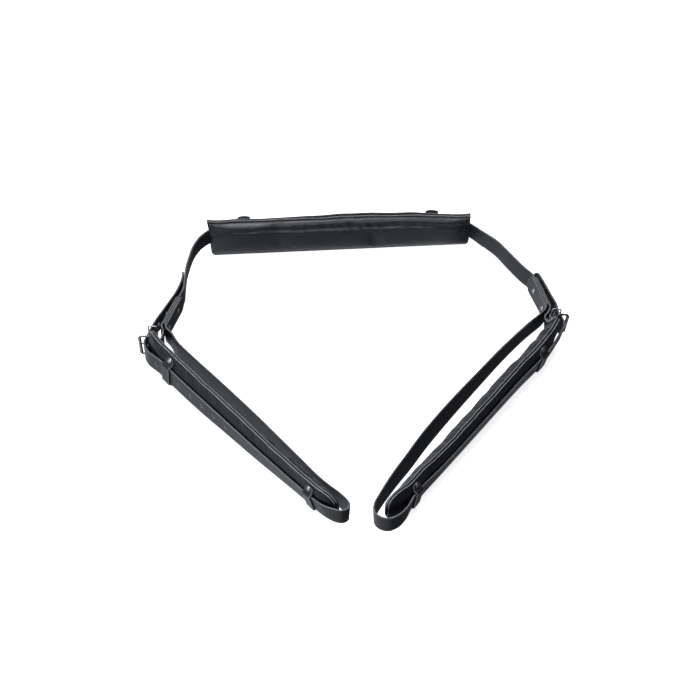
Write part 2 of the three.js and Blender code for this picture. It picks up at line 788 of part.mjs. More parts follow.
function addSide(side) {
  const group = new THREE.Group();
  group.scale.x = side.hand;
  product.add(group);
  const pad = {
    ribbon: new Ribbon(standing(side.pad)),
    strapSide: -1,
    lowEnd: { blunt: 3, rounding: 30 },
    highEnd: { blunt: 7, rounding: 19 },
    taper: 55,
    keepers: side.keepers,
    keeperNames: ["lower", "upper"],
  };
  addPad(group, `${side.name}_pad`, pad);

  const longStrap = longStrapRibbon(side, pad);
  const buckleU = longStrap.nearest(side.buckle[0], side.buckle[1]);
  const ringU = longStrap.nearest(side.ring[0], side.ring[1]);
  const holes = [];
  for (let k = -HOLES_BELOW_BUCKLE; k <= HOLES_ABOVE_BUCKLE; k++) {
    const u = buckleU + (k * HOLE_PITCH) / longStrap.length;
    holes.push(crossPin(longStrap, u, STRAP_WIDTH / 2, -3, 3, HOLE_RADIUS));
  }
  JOINT_RIVETS.forEach((s, i) => {
    const seat = LAYER_PITCH + STRAP_THICKNESS / 2 + REST_GAP;
    const rivet = rivetGeometry(2 * seat, 3.4, 1.2).rotateX(Math.PI);
    const name = `${side.name}_joint_rivet_${["lower", "upper"][i]}`;
    addPiece(group, name, rivet, DARK_NICKEL).applyMatrix4(jointMatrix(side, s, -seat));
  });
  holes.push(...jointBores(side));
  addPiece(group, `${side.name}_long_strap`, cut(strap(longStrap, true, true), holes), BLACK_LEATHER);
  addPiece(group, `${side.name}_buckle_strap`, buckleStrap(side, longStrap, buckleU), BLACK_LEATHER);
  addFittings(group, side.name, longStrap, buckleU, ringU);
}

// ---------------------------------------------------------------- the back

function addBack() {
  const [right, left] = SIDES.map((side) => BACK_STRAP_STATIONS.map((s) => jointStation(side, s, 0)));
  const flip = new THREE.Vector3(-1, 1, 1);
  const mirrored = left.map(({ foot, head }) => ({ foot: foot.multiply(flip), head: head.multiply(flip) }));
  const pad = {
    ribbon: new Ribbon(standing(BACK_PAD)),
    strapSide: 1,
    lowEnd: { blunt: 14, rounding: 18 },
    highEnd: { blunt: 14, rounding: 18 },
    taper: 40,
    keepers: [0.138, 0.856],
    keeperNames: ["left", "right"],
  };
  const beside = stationsBeside(pad, [0.09, 0.2, 0.4, 0.6, 0.8, 0.88]);
  const ribbon = new Ribbon([
    ...mirrored.reverse(),
    ...BACK_STRAP_LEFT,
    ...beside,
    ...BACK_STRAP_RIGHT,
    ...right,
  ]);
  const mirror = new THREE.Matrix4().makeScale(-1, 1, 1);
  const [rightBores, leftBores] = SIDES.map(jointBores);
  const holes = [...rightBores, ...leftBores.map((bore) => turnedOut(bore.applyMatrix4(mirror)))];
  addPiece(product, "back_strap", cut(strap(ribbon, false, false), holes), BLACK_LEATHER);
  addPad(product, "back_pad", pad);
}

addBack();
SIDES.forEach(addSide);
product.position.set(-PLAN_MIDDLE.x, -PLAN_MIDDLE.y, 0);

export default product;
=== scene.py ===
"""Visible model of the accordion shoulder strap harness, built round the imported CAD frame."""
import math

import bmesh
import bpy
import numpy as np
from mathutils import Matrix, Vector


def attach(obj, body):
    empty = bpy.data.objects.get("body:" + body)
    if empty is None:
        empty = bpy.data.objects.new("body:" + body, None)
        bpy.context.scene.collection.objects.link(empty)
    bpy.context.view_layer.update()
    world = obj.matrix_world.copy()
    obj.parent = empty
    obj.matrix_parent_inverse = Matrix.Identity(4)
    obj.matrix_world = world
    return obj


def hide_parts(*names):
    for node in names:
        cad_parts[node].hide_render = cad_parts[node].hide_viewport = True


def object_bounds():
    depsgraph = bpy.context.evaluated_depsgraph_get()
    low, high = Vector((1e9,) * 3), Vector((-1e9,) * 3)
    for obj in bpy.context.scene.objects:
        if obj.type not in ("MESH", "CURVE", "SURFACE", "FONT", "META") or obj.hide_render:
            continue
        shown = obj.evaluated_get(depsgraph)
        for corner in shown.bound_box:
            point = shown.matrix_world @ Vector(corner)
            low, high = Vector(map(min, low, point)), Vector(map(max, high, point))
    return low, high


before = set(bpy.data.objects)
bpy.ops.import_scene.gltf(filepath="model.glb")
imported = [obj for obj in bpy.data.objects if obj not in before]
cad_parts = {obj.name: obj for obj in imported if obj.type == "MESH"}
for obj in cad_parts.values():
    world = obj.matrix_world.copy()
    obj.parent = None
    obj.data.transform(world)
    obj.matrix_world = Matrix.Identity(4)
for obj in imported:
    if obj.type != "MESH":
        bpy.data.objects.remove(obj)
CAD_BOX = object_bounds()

MM = 0.001
PLAN_MIDDLE = np.array([1.3, 9.45, 0.0])

# ---- sizes, as in the CAD, in mm

STRAP_WIDTH = 24.0
STRAP_THICKNESS = 2.6
LAYER_PITCH = 3.0
HOLE_RADIUS = 2.5
HOLE_PITCH = 30.2
HOLES_BELOW_BUCKLE = 8
HOLES_ABOVE_BUCKLE = 3
TIP_LENGTH = 14.0

JOINT_RIVETS = (14, 57)
BACK_STRAP_STATIONS = (84, 78, 57, 28, 8)
LOOP_STATIONS = (84, 57, 28, 8, 2)
LONG_STRAP_ON_PAD = (0.08, 0.14, 0.25, 0.38, 0.5, 0.62, 0.75, 0.83, 0.89)
BACK_STRAP_ON_PAD = (0.09, 0.2, 0.4, 0.6, 0.8, 0.88)
JOINT_DIRECTION = np.array([0.3, -0.954]) / math.hypot(0.3, 0.954)

PAD_MIDDLE = 28.0
STRAP_BULGE = 9.0
END_BULGE = 3.0
STRAP_HEIGHT_ON_PAD = PAD_MIDDLE - STRAP_WIDTH / 2
STRAP_CLEARANCE = 1.5
WELT_CORNER = 2.2

# each pad end is an arc cut off bluntly: (blunt, round) at its low and high end
SHOULDER_ENDS = ((2, 30), (7, 19))
BACK_ENDS = ((14, 18), (14, 18))
SHOULDER_TAPER = 55
BACK_TAPER = 40
BACK_KEEPERS = (0.138, 0.856)
BACK_SEED = 1.3

KEEPER_WIDTH = 18.0
KEEPER_THICKNESS = 1.6
KEEPER_RIVET_REACH = 19.0
KEEPER_TIP = 6.0
KEEPER_SHORT_TIP = 2.5
KEEPER_STACK = KEEPER_THICKNESS + 0.45

SHANK_RADIUS = 1.5
TAIL_RADIUS = 3.4
TAIL_HEIGHT = 1.2

WIRE_RADIUS = 1.5
BUCKLE_HALF_HEIGHT = 14.3
BUCKLE_CORNER = 2.2
BUCKLE_DEPTH = 14.2
BASE_BAR_OFFSET = 5.2
ROLLER_RADIUS = 2.6
ROLLER_LENGTH = 24.6
ROLLER_BORE = 1.9
PRONG_RADIUS = 1.0
EYE_RADIUS = 3.3
EYE_BORE = 1.75
PRONG_SLOT = 2.3
FOLD_OFFSET = 2.1
FOLD_LENGTH = 14
FOLD_THICKNESS = 1.5
RING_WIRE_RADIUS = 1.1
RING_HALF_HEIGHT = 14.9
RING_OUTER_BAR = -3.6
RING_INNER_BAR = 8.5
RING_CORNER = 2.2

SIDES = (
    dict(
        name="right",
        hand=1,
        seed=4.0,
        joint_end=(270.8, 166.9, 1.5),
        joint_lean=(8, 15),
        keepers=(0.1, 0.86),
        inner_run=(
            (266, 163, 1.5, 7), (259.5, 150.5, 1.5, 5), (247, 134, 1, 5), (234, 115, 0.5, 5),
            (206, 66, 0.5, 1), (178, 12, 0.5, -4), (150, -43, 0.5, -10), (122, -100, 0.5, -15),
            (101, -145, 0.5, -16), (80, -194, 0.5, -15), (59, -239, 0.5, -10), (39, -286, 0.5, -3),
        ),
        bend=(
            (31, -311, 0.8, -2), (31, -330, 1.5, -3), (38.5, -344, 2.5, -4), (50, -349.5, 3.5, -5),
            (62, -343, 5, -7), (72.5, -327, 7, -10),
        ),
        pad=(
            (44.5, -330, 0, -8), (56, -318, 0, -10), (68.5, -299, 0, -13), (85.3, -259, 0, -17),
            (104, -221, 0, -21), (158, -115, 0, -23), (214, -8, 0, -22), (243.8, 44, 0, -21),
            (262.8, 82, 0, -19), (274, 111, 0, -18),
        ),
        upper_run=((284.5, 98, 10.5, -18), (288.6, 112, 9.5, -18), (288.4, 124, 8.6, -17)),
        buckle=(286, 134.5, 8, -16),
        ring=(281.6, 149, 6.4, -15),
        tail=(
            (279, 170, 4.5, -15), (271.3, 196, 2.5, -15), (262.2, 225, 2, -15),
            (254.7, 246, 2, -15), (250, 257, 2, -15),
        ),
        hook=((272, 156, 1.5, 4), (268.5, 146, 1.5, 1), (270.6, 137.5, 2, -2), (274.2, 132.5, 2.6, -7)),
    ),
    dict(
        name="left",
        hand=-1,
        seed=9.0,
        joint_end=(264.8, 120.2, 1),
        joint_lean=(3, 4),
        keepers=(0.09, 0.85),
        inner_run=(
            (260.5, 117.5, 1, 2), (254, 105, 0.8, 0), (246.5, 83, 0.5, -2), (232.5, 58, 0.5, -3),
            (217.5, 34, 0.5, -3), (189.5, -10, 0.5, -3), (161.5, -55, 0.5, -3),
            (133.5, -101, 0.5, -3), (105.5, -149, 0.5, -3), (77.5, -197, 0.5, -3),
            (49.5, -245, 0.5, -3), (35, -268, 2, -3),
        ),
        bend=(
            (20.5, -290, 4.5, -3), (10.5, -311, 8, -3), (6.5, -326, 10.5, -4),
            (8.5, -337, 11.5, -5), (16.5, -342, 12, -6), (25.5, -338, 12, -8),
            (37.5, -327.5, 12.5, -15),
        ),
        pad=(
            (18.5, -325.5, 0, -12), (33, -308, 0, -17), (58, -267, 0, -20), (120, -183, 0, -13),
            (181, -97, 0, -6), (211, -53, 0, -4), (257, 22, 0, -3), (271.8, 49, 0, -3),
            (281, 71.5, 0, -3),
        ),
        upper_run=((285, 43, 13, -5), (289, 57, 12, -6), (289.5, 70, 11, -7)),
        buckle=(287, 80.5, 8.5, -8),
        ring=(280.6, 109, 5.5, -6),
        tail=(
            (275, 131, 3.8, -4), (265, 158, 2.5, -3), (254.5, 185, 2, -2), (246.6, 207, 1.5, -1),
            (239.6, 236, 1.5, 0), (237.8, 262, 1.5, 0),
        ),
        hook=((265, 110, 1.5, 2), (267, 98, 2, 0), (270, 88.5, 3, -3), (275, 82.5, 3.6, -6)),
    ),
)

BACK_STRAP_LEFT = (
    (-236.2, 214, 0.8, 3), (-235, 237, 0.8, 2), (-233, 268, 0.8, 1), (-229.5, 290, 1, 0),
    (-223, 316, 3, 0), (-212.5, 332.5, 8, 0), (-198, 341, 13, 0),
)
BACK_STRAP_RIGHT = (
    (149, 370.5, 10, -2), (163.5, 366.5, 4, 2), (178, 353.5, 0.8, 5), (199, 327, 0.8, 10),
    (217.5, 293, 0.8, 14), (235, 262.5, 1, 15),
)
BACK_PAD = (
    (-203, 331, 0, 0), (-160, 334.3, 0, 0), (-60, 342, 0, 0), (60, 351.5, 0, -2), (120, 356, 0, -8),
    (163, 359.5, 0, -13),
)

# ---- curves and ribbons


def unit(v):
    return v / np.maximum(np.linalg.norm(v, axis=-1, keepdims=True), 1e-12)


class Spline:
    """Centripetal Catmull-Rom curve through points."""

    def __init__(self, points):
        p = np.asarray(points, float)
        self.spans = len(p) - 1
        self.points = np.vstack([2 * p[0] - p[1], p, 2 * p[-1] - p[-2]])

    def at(self, t):
        q = np.clip(np.asarray(t, float), 0, 1) * self.spans
        i = np.minimum(q.astype(int), self.spans - 1)
        w = (q - i)[:, None]
        p0, p1, p2, p3 = (self.points[i + k] for k in range(4))
        spans = ((p0, p1), (p1, p2), (p2, p3))
        d0, d1, d2 = (np.sqrt(np.linalg.norm(b - a, axis=1, keepdims=True)) for a, b in spans)
        t1 = ((p1 - p0) / d0 - (p2 - p0) / (d0 + d1) + (p2 - p1) / d1) * d1
        t2 = ((p2 - p1) / d1 - (p3 - p1) / (d1 + d2) + (p3 - p2) / d2) * d1
        a = 2 * p1 - 2 * p2 + t1 + t2
        b = -3 * p1 + 3 * p2 - 2 * t1 - t2
        return ((a * w + b) * w + t1) * w + p1

    def tangent(self, t):
        t = np.asarray(t, float)
        return unit(self.at(np.minimum(t + 1e-4, 1)) - self.at(np.maximum(t - 1e-4, 0)))


def left_of(along):
    return unit(np.array([-along[1], along[0], 0.0]))


def leaning_up(left, lean):
    a = math.radians(lean)
    return np.array([0, 0, math.cos(a)]) + left * math.sin(a)


class Ribbon:
    """A ruled strip. Places on it are mm along, n to the left of travel and h up its height."""

    def __init__(self, stations):
        feet = np.array([s[0] if len(s) == 2 else s[:3] for s in stations], float)
        self.lower = Spline(feet)
        heads = []
        for i, s in enumerate(stations):
            if len(s) == 2:
                heads.append(s[1])
                continue
            along = self.lower.tangent(np.array([i / (len(stations) - 1)]))[0]
            heads.append(feet[i] + leaning_up(left_of(along), s[3]) * STRAP_WIDTH)
        self.upper = Spline(heads)
        self.t = np.linspace(0, 1, 2001)
        pts = self.lower.at(self.t)
        self.lengths = np.concatenate([[0], np.cumsum(np.linalg.norm(np.diff(pts, axis=0), axis=1))])
        self.length = self.lengths[-1]

    def frames(self, s):
        t = np.interp(np.clip(s, 0, self.length), self.lengths, self.t)
        origin = self.lower.at(t)
        up = unit(self.upper.at(t) - origin)
        along = self.lower.tangent(t)
        along = unit(along - up * (along * up).sum(1, keepdims=True))
        beyond = (np.asarray(s) - np.clip(s, 0, self.length))[:, None]
        return origin + along * beyond, along, np.cross(up, along), up

    def at(self, s, n, h):
        s, n, h = np.broadcast_arrays(np.asarray(s, float), n, h)
        origin, _, side, up = self.frames(s.ravel())
        return origin + side * n.ravel()[:, None] + up * h.ravel()[:, None]

    def matrix(self, s, n, h):
        _, along, side, up = self.frames(np.array([s]))
        m = np.eye(4)
        m[:3, 0], m[:3, 1], m[:3, 2] = along[0], side[0], up[0]
        m[:3, 3] = self.at(np.array([s]), n, h)[0]
        return m

    def station(self, s, n, h):
        foot = self.at(np.array([s]), n, h)[0]
        return foot, foot + self.frames(np.array([s]))[3][0] * STRAP_WIDTH

    def nearest(self, x, y):
        steps = int(round(self.length))
        p = self.at(np.linspace(0, self.length, steps + 1), 0, 0)
        return int(np.argmin(np.hypot(p[:, 0] - x, p[:, 1] - y))) / steps * self.length


def standing(stations):
    """A leaning pad raised so that its welt's lower corner just stands on the ground."""
    rise = [WELT_CORNER * abs(math.sin(math.radians(lean))) for *_, lean in stations]
    return [(x, y, z + up, lean) for (x, y, z, lean), up in zip(stations, rise)]


def joint_station(side, s, n):
    normal = np.array([-JOINT_DIRECTION[1], JOINT_DIRECTION[0], 0])
    low, high = side["joint_lean"]
    lean = low + (high - low) * min(s / JOINT_RIVETS[1], 1)
    foot = np.array(side["joint_end"], float)
    foot[:2] -= JOINT_DIRECTION * s
    foot += leaning_up(normal, lean + 90) * n
    return foot, foot + leaning_up(normal, lean) * STRAP_WIDTH


def joint_matrix(side, s, n):
    foot, head = joint_station(side, s, n)
    up = unit(head - foot)
    along = np.array([*JOINT_DIRECTION, 0])
    m = np.eye(4)
    m[:3, 0], m[:3, 1], m[:3, 2], m[:3, 3] = along, np.cross(up, along), up, (foot + head) / 2
    return m


# ---- meshes


def new_object(name, data):
    obj = bpy.data.objects.new(name, data)
    bpy.context.scene.collection.objects.link(obj)
    return obj


class Shape:
    """Vertices in mm with an 'edge' value each (how far it is lightened: rubbed or burnished leather,
    and painted highlight on edges), and faces.
    """

    def __init__(self):
        self.points, self.edges, self.faces, self.count = [], [], [], 0

    def add(self, points, faces, edge=0.0):
        points = np.asarray(points, float).reshape(-1, 3)
        self.points.append(points)
        self.edges.append(np.broadcast_to(np.asarray(edge, float), (len(points),)))
        self.faces += [tuple(self.count + i for i in f) for f in faces]
        self.count += len(points)

    def object(self, name, hand, body, slot, material, stands_for=(), levels=0):
        pts = np.vstack(self.points) * np.array([hand, 1, 1]) - PLAN_MIDDLE
        mesh = bpy.data.meshes.new(name)
        mesh.from_pydata([tuple(p) for p in pts * MM], [], self.faces)
        edge = mesh.attributes.new("edge", "FLOAT", "POINT")
        edge.data.foreach_set("value", np.concatenate(self.edges))
        bm = bmesh.new()
        bm.from_mesh(mesh)
        bmesh.ops.recalc_face_normals(bm, faces=bm.faces)
        bm.to_mesh(mesh)
        bm.free()
        mesh.polygons.foreach_set("use_smooth", [True] * len(mesh.polygons))
        mesh.materials.append(material)
        obj = new_object(name, mesh)
        if levels:
            subdivision = obj.modifiers.new("smooth", "SUBSURF")
            subdivision.levels = subdivision.render_levels = levels
        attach(obj, body)
        if stands_for:
            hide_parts(*stands_for)
        return obj


def grid_faces(rows, columns, loop_rows=False):
    """Faces of a tube of closed rings, capped unless its rows loop too."""
    faces = []
    for i in range(rows if loop_rows else rows - 1):
        for j in range(columns):
            k, m = (j + 1) % columns, (i + 1) % rows
            faces.append((i * columns + j, i * columns + k, m * columns + k, m * columns + j))
    if not loop_rows:
        faces.append(tuple(range(columns)))
        faces.append(tuple((rows - 1) * columns + j for j in range(columns)))
    return faces


def ripple(s, wavelengths, seed):
    """A smooth irregular wave of about unit height along s."""
    s = np.asarray(s, float)
    total = np.zeros_like(s)
    for i, w in enumerate(wavelengths):
        total = total + np.sin(2 * math.pi * s / w + seed * (1.7 + 2.3 * i)) / (1 + 0.35 * i)
    return total / len(wavelengths)


STRIP_EDGE_RADIUS = 0.85
STRIP_EDGE_SHARE = 0.72
STRIP_EDGE_ANGLE = math.radians(42)
STRIP_OUTER_COLUMN = 0.68
STRIP_END_BEVEL = 0.4
ROUND_TIP_PARTS = (0, 0.025, 0.07, 0.14, 0.24, 0.37, 0.54, 0.75, 1)
PLAIN_TIP_PLACES = (0, 0.4, 1.2, 3.0)
TIP_LEAST_WIDTH = 0.16

# a hole sits in a square patch of the strip's grid, between these columns and so many rows away
HOLE_GRID = (-4, -2, 0, 2, 4)
HOLE_COLUMNS = (2, 6)
HOLE_ROWS = 2
HOLE_SIDES = 16
LAST_BACK_COLUMN = 21
HOLE_RIM = 0.6
HOLE_BEVEL = 0.4

# how far parts of a strip are lightened towards the edge colour: on the faces beside the long edges
# partly rubbed leather, partly painted highlight
SURFACE_RUB_AND_HIGHLIGHT = 0.12
RIM_WEAR = 0.2
HOLE_WEAR = 2.2


def tip_rows(start, end, round_start, round_end, tip, step, stops=()):
    """Places along a strip: close together at rounded or bevelled ends and round the stops."""
    lead = [tip * part for part in ROUND_TIP_PARTS]
    plain = list(PLAIN_TIP_PLACES)
    fixed = [start + d for d in (lead if round_start else plain)]
    fixed += [end - d for d in (lead if round_end else plain)]
    for s in stops:
        fixed += [s + d for d in HOLE_GRID]
    fixed = sorted(fixed)
    rows = [fixed[0]]
    for a, b in zip(fixed, fixed[1:]):
        parts = max(1, math.ceil((b - a) / step))
        rows += [a + (b - a) * k / parts for k in range(1, parts + 1)]
    return np.array(rows)


def strip(shape, place, start, end, half_width, half_thickness, **options):
    """A leather strip with rounded edges, optional rounded tips and punched holes.

    place(s, n, h) gives points, with h measured from the strip's middle line.
    """
    round_start, round_end = options.get("round_start", False), options.get("round_end", False)
    tip, step = options.get("tip", TIP_LENGTH), options.get("step", 4.5)
    holes = options.get("holes", ())
    w, t = half_width, half_thickness
    r = min(STRIP_EDGE_RADIUS, t * STRIP_EDGE_SHARE)
    outer = w * STRIP_OUTER_COLUMN
    columns = [-(w - r), -outer, *HOLE_GRID, outer, w - r]
    out = [(w - r + r * math.sin(STRIP_EDGE_ANGLE), t - r + r * math.cos(STRIP_EDGE_ANGLE)), (w, t - r)]
    # the rounded edges, and the bevelled ends below, take the full edge colour: rubbed leather and
    # painted highlight
    ring = [(c, t, SURFACE_RUB_AND_HIGHLIGHT if abs(c) > w * 0.7 else 0) for c in columns]
    ring += [(*p, 1) for p in out] + [(p[0], -p[1], 1) for p in reversed(out)]
    ring += [(c, -t, SURFACE_RUB_AND_HIGHLIGHT if abs(c) > w * 0.7 else 0) for c in reversed(columns)]
    ring += [(-p[0], -p[1], 1) for p in out] + [(-p[0], p[1], 1) for p in reversed(out)]
    ring = np.array(ring)
    size = len(ring)
    rows = tip_rows(start, end, round_start, round_end, tip, step, holes)

    def reach(distance, is_round):
        if is_round:
            part = np.clip(distance / tip, 0, 1)
            return np.maximum(np.sqrt(1 - (1 - part) ** 2), TIP_LEAST_WIDTH)
        return np.ones_like(distance)

    scale = np.minimum(reach(rows - start, round_start), reach(end - rows, round_end))
    inset = np.clip(np.minimum(rows - start, end - rows) / STRIP_END_BEVEL, 0, 1)
    s = np.repeat(rows, size)
    h = (ring[None, :, 0] * scale[:, None] * (0.965 + 0.035 * inset[:, None])).ravel()
    n = (ring[None, :, 1] * (0.55 + 0.45 * inset[:, None])).ravel()
    edge = np.broadcast_to(ring[:, 2], (len(rows), size)).copy()
    edge[inset < 1] = 1
    s, h, n, edge = list(s), list(h), list(n), list(edge.ravel())
    faces = []
    skipped = set()
    left, right = HOLE_COLUMNS
    levels = ((HOLE_RIM, t), (0.0, t - HOLE_BEVEL), (0.0, HOLE_BEVEL - t), (HOLE_RIM, -t))
    for centre in holes:
        middle = int(np.argmin(abs(rows - centre)))
        low, high = middle - HOLE_ROWS, middle + HOLE_ROWS
        for i in range(low, high):
            for j in [*range(left, right), *range(LAST_BACK_COLUMN - right, LAST_BACK_COLUMN - left)]:
                skipped.add((i, j))
        boundary = [(low, c) for c in range(left, right)] + [(r, right) for r in range(low, high)]
        boundary += [(high, c) for c in range(right, left, -1)]
        boundary += [(r, left) for r in range(high, low, -1)]
        base = len(s)
        for extra, level in levels:
            for k in range(HOLE_SIDES):
                a = math.radians(-135 - 360 / HOLE_SIDES * k)
                s.append(centre + (HOLE_RADIUS + extra) * math.cos(a))
                h.append((HOLE_RADIUS + extra) * math.sin(a))
                n.append(level)
                edge.append(RIM_WEAR if extra else HOLE_WEAR)
        last = base + (len(levels) - 1) * HOLE_SIDES
        for k in range(HOLE_SIDES):
            m = (k + 1) % HOLE_SIDES
            (ra, ca), (rb, cb) = boundary[k], boundary[m]
            faces.append((ra * size + ca, rb * size + cb, base + m, base + k))
            for q in range(base, last, HOLE_SIDES):
                faces.append((q + k, q + m, q + HOLE_SIDES + m, q + HOLE_SIDES + k))
            back_a, back_b = (r * size + LAST_BACK_COLUMN - c for r, c in (boundary[k], boundary[m]))
            faces.append((last + k, last + m, back_b, back_a))
    for i in range(len(rows) - 1):
        for j in range(size):
            if (i, j) in skipped:
                continue
            k = (j + 1) % size
            faces.append((i * size + j, i * size + k, i * size + size + k, i * size + size + j))
    faces.append(tuple(range(size)))
    faces.append(tuple((len(rows) - 1) * size + j for j in range(size)))
    shape.add(place(np.array(s), np.array(n), np.array(h)), faces, edge)


def on_ribbon(ribbon, offset=0.0):
    return lambda s, n, h: ribbon.at(s, n + offset, h + STRAP_WIDTH / 2)


def wire(shape, path, radius, sides, closed=False, matrix=None):
    """A round bar swept along a path of points in its own plane or space."""
    path = np.asarray(path, float)
    count = len(path)
    if closed:
        tangents = unit(np.roll(path, -1, 0) - np.roll(path, 1, 0))
    else:
        tangents = unit(np.gradient(path, axis=0))
    upright = abs(tangents[0][2]) >= 0.9
    normal = unit(np.cross(tangents[0], [1, 0, 0] if upright else [0.31, 0.17, 0.93]))
    points = []
    radii = np.broadcast_to(np.asarray(radius, float), (count,))
    for i in range(count):
        normal = unit(normal - tangents[i] * normal.dot(tangents[i]))
        across = np.cross(tangents[i], normal)
        for k in range(sides):
            a = 2 * math.pi * k / sides
            points.append(path[i] + radii[i] * (normal * math.cos(a) + across * math.sin(a)))
    points = np.array(points)
    if closed:
        faces = []
        turn = points[:sides] - path[0]
        last = points[-sides:] - path[-1]
        shift = int(np.argmax([np.sum(np.roll(turn, -k, 0) * last) for k in range(sides)]))
        for i in range(count):
            for k in range(sides):
                m = (k + 1) % sides
                a, b = i * sides, ((i + 1) % count) * sides
                q = shift if i == count - 1 else 0
                faces.append((a + k, a + m, b + (m + q) % sides, b + (k + q) % sides))
    else:
        faces = grid_faces(count, sides)
    if matrix is not None:
        points = points @ matrix[:3, :3].T + matrix[:3, 3]
    shape.add(points, faces)


def lathe(shape, profile, matrix, sides=28, closed=False):
    """A profile of (radius, height) turned round the local y axis."""
    rows = len(profile)
    points = []
    for r, y in profile:
        for k in range(sides):
            a = 2 * math.pi * k / sides
            points.append((r * math.cos(a), y, r * math.sin(a)))
    points = np.array(points) @ matrix[:3, :3].T + matrix[:3, 3]
    shape.add(points, grid_faces(rows, sides, loop_rows=closed))


# ---- materials

# the colour edges are lightened towards: rubbed and burnished leather, and painted highlight where
# light catches the edges
RUBBED_AND_HIGHLIT_EDGE = (0.19, 0.195, 0.21)


class Material:
    """A node material whose textures are placed by object coordinates."""

    def __init__(self, name):
        self.material = bpy.data.materials.new(name)
        self.material.use_nodes = True
        self.nodes, self.links = self.material.node_tree.nodes, self.material.node_tree.links
        self.shader = self.nodes["Principled BSDF"]
        self.place = self.nodes.new("ShaderNodeTexCoord").outputs["Object"]

    def node(self, kind, links=(), **values):
        """A node with its inputs linked or set."""
        node = self.nodes.new(kind)
        if kind == "ShaderNodeMix":
            node.data_type = "RGBA"
        for key, value in values.items():
            node.inputs[key.replace("_", " ")].default_value = value
        for output, key in links:
            self.links.new(output, node.inputs[key])
        return node

    def noise(self, scale, detail=2.0, **values):
        values.update(Scale=scale, Detail=detail)
        return self.node("ShaderNodeTexNoise", [(self.place, "Vector")], **values).outputs["Fac"]

    def mix(self, factor, a, b):
        node = self.node("ShaderNodeMix", [(factor, "Factor")], A=(*a, 1), B=(*b, 1))
        return node.outputs["Result"]

    def spread(self, value, low, high):
        node = self.node("ShaderNodeMapRange", [(value, "Value")], To_Min=low, To_Max=high)
        return node.outputs["Result"]

    def bump(self, height, strength, distance, under=None):
        links = [(height, "Height")] + ([] if under is None else [(under, "Normal")])
        node = self.node("ShaderNodeBump", links, Strength=strength, Distance=distance)
        return node.outputs["Normal"]

    def wire_up(self, **sockets):
        for key, output in sockets.items():
            self.links.new(output, self.shader.inputs[key.replace("_", " ")])

    def set(self, **values):
        for key, value in values.items():
            self.shader.inputs[key.replace("_", " ")].default_value = value


def leather(name, base, roughness, rubbed_and_highlit=RUBBED_AND_HIGHLIT_EDGE, grain=0.18, grain_size=0.9, creases=0.0, sheen=0.45):
    """Black leather: pebbled grain, faint mottling, edges lightened as rubbed leather and as painted
    highlight, and a slight uneven polish.
    """
    m = Material(name)
    pebble = m.node("ShaderNodeTexVoronoi", [(m.place, "Vector")], Scale=1000 / grain_size)
    pebble.feature = "SMOOTH_F1"
    pebble.inputs["Smoothness"].default_value = 0.6
    fine = m.noise(2600, 3)
    broad = m.noise(60, 4)
    wrinkle = m.noise(260, 5, Distortion=0.8)

    # the 'edge' attribute, broken up by wrinkle noise, lightens edges towards the edge colour: partly
    # rubbed leather, partly painted highlight
    edge = m.nodes.new("ShaderNodeAttribute")
    edge.attribute_name = "edge"
    rub_and_highlight = m.nodes.new("ShaderNodeMath")
    rub_and_highlight.operation = "MULTIPLY"
    m.links.new(edge.outputs["Fac"], rub_and_highlight.inputs[0])
    m.links.new(wrinkle, rub_and_highlight.inputs[1])
    tone = m.mix(broad, [c * 0.8 for c in base], [c * 1.3 for c in base])
    rubbed_and_highlit_tone = m.node("ShaderNodeMix", [(rub_and_highlight.outputs[0], "Factor"), (tone, "A")], B=(*rubbed_and_highlit, 1))

    heights = m.nodes.new("ShaderNodeMath")
    heights.operation = "MULTIPLY_ADD"
    m.links.new(fine, heights.inputs[0])
    heights.inputs[1].default_value = 0.35
    m.links.new(pebble.outputs["Distance"], heights.inputs[2])
    fold = m.bump(wrinkle, creases, 0.0012) if creases else None
    m.wire_up(
        Base_Color=rubbed_and_highlit_tone.outputs["Result"],
        Roughness=m.spread(broad, roughness - 0.07, roughness + 0.09),
        Normal=m.bump(heights.outputs[0], grain, 0.0004, fold),
    )
    m.set(Specular_IOR_Level=sheen)
    return m.material


def metal(name, base, roughness):
    """Polished plate: uneven roughness, fine scratches and slight staining."""
    m = Material(name)
    stain = m.noise(380, 4)
    scratches = m.noise(1800, 2)
    m.wire_up(
        Base_Color=m.mix(stain, [c * 0.72 for c in base], [c * 1.15 for c in base]),
        Roughness=m.spread(scratches, roughness - 0.06, roughness + 0.14),
        Normal=m.bump(scratches, 0.06, 0.0002),
    )
    m.set(Metallic=1.0)
    return m.material


def foam_material():
    m = Material("open_cell_foam")
    cells = m.node("ShaderNodeTexVoronoi", [(m.place, "Vector")], Scale=700)
    m.wire_up(Base_Color=m.mix(cells.outputs["Distance"], (0.02, 0.02, 0.022), (0.08, 0.08, 0.082)))
    m.set(Roughness=0.95)
    return m.material


def floor_material():
    m = Material("studio_floor")
    m.wire_up(Base_Color=m.mix(m.noise(3), (0.9, 0.9, 0.9), (0.93, 0.93, 0.93)))
    m.set(Roughness=0.9, Specular_IOR_Level=0.0, Emission_Color=(1, 1, 1, 1), Emission_Strength=0.8)
    return m.material


STRAP_LEATHER = leather(
    "strap_leather_black", (0.005, 0.0056, 0.0078), 0.42, grain=0.26, creases=0.08, sheen=0.36
)
PAD_LEATHER = leather(
    "pad_leather_black", (0.0045, 0.0052, 0.0072), 0.34, grain=0.14, grain_size=1.2, creases=0.10
)
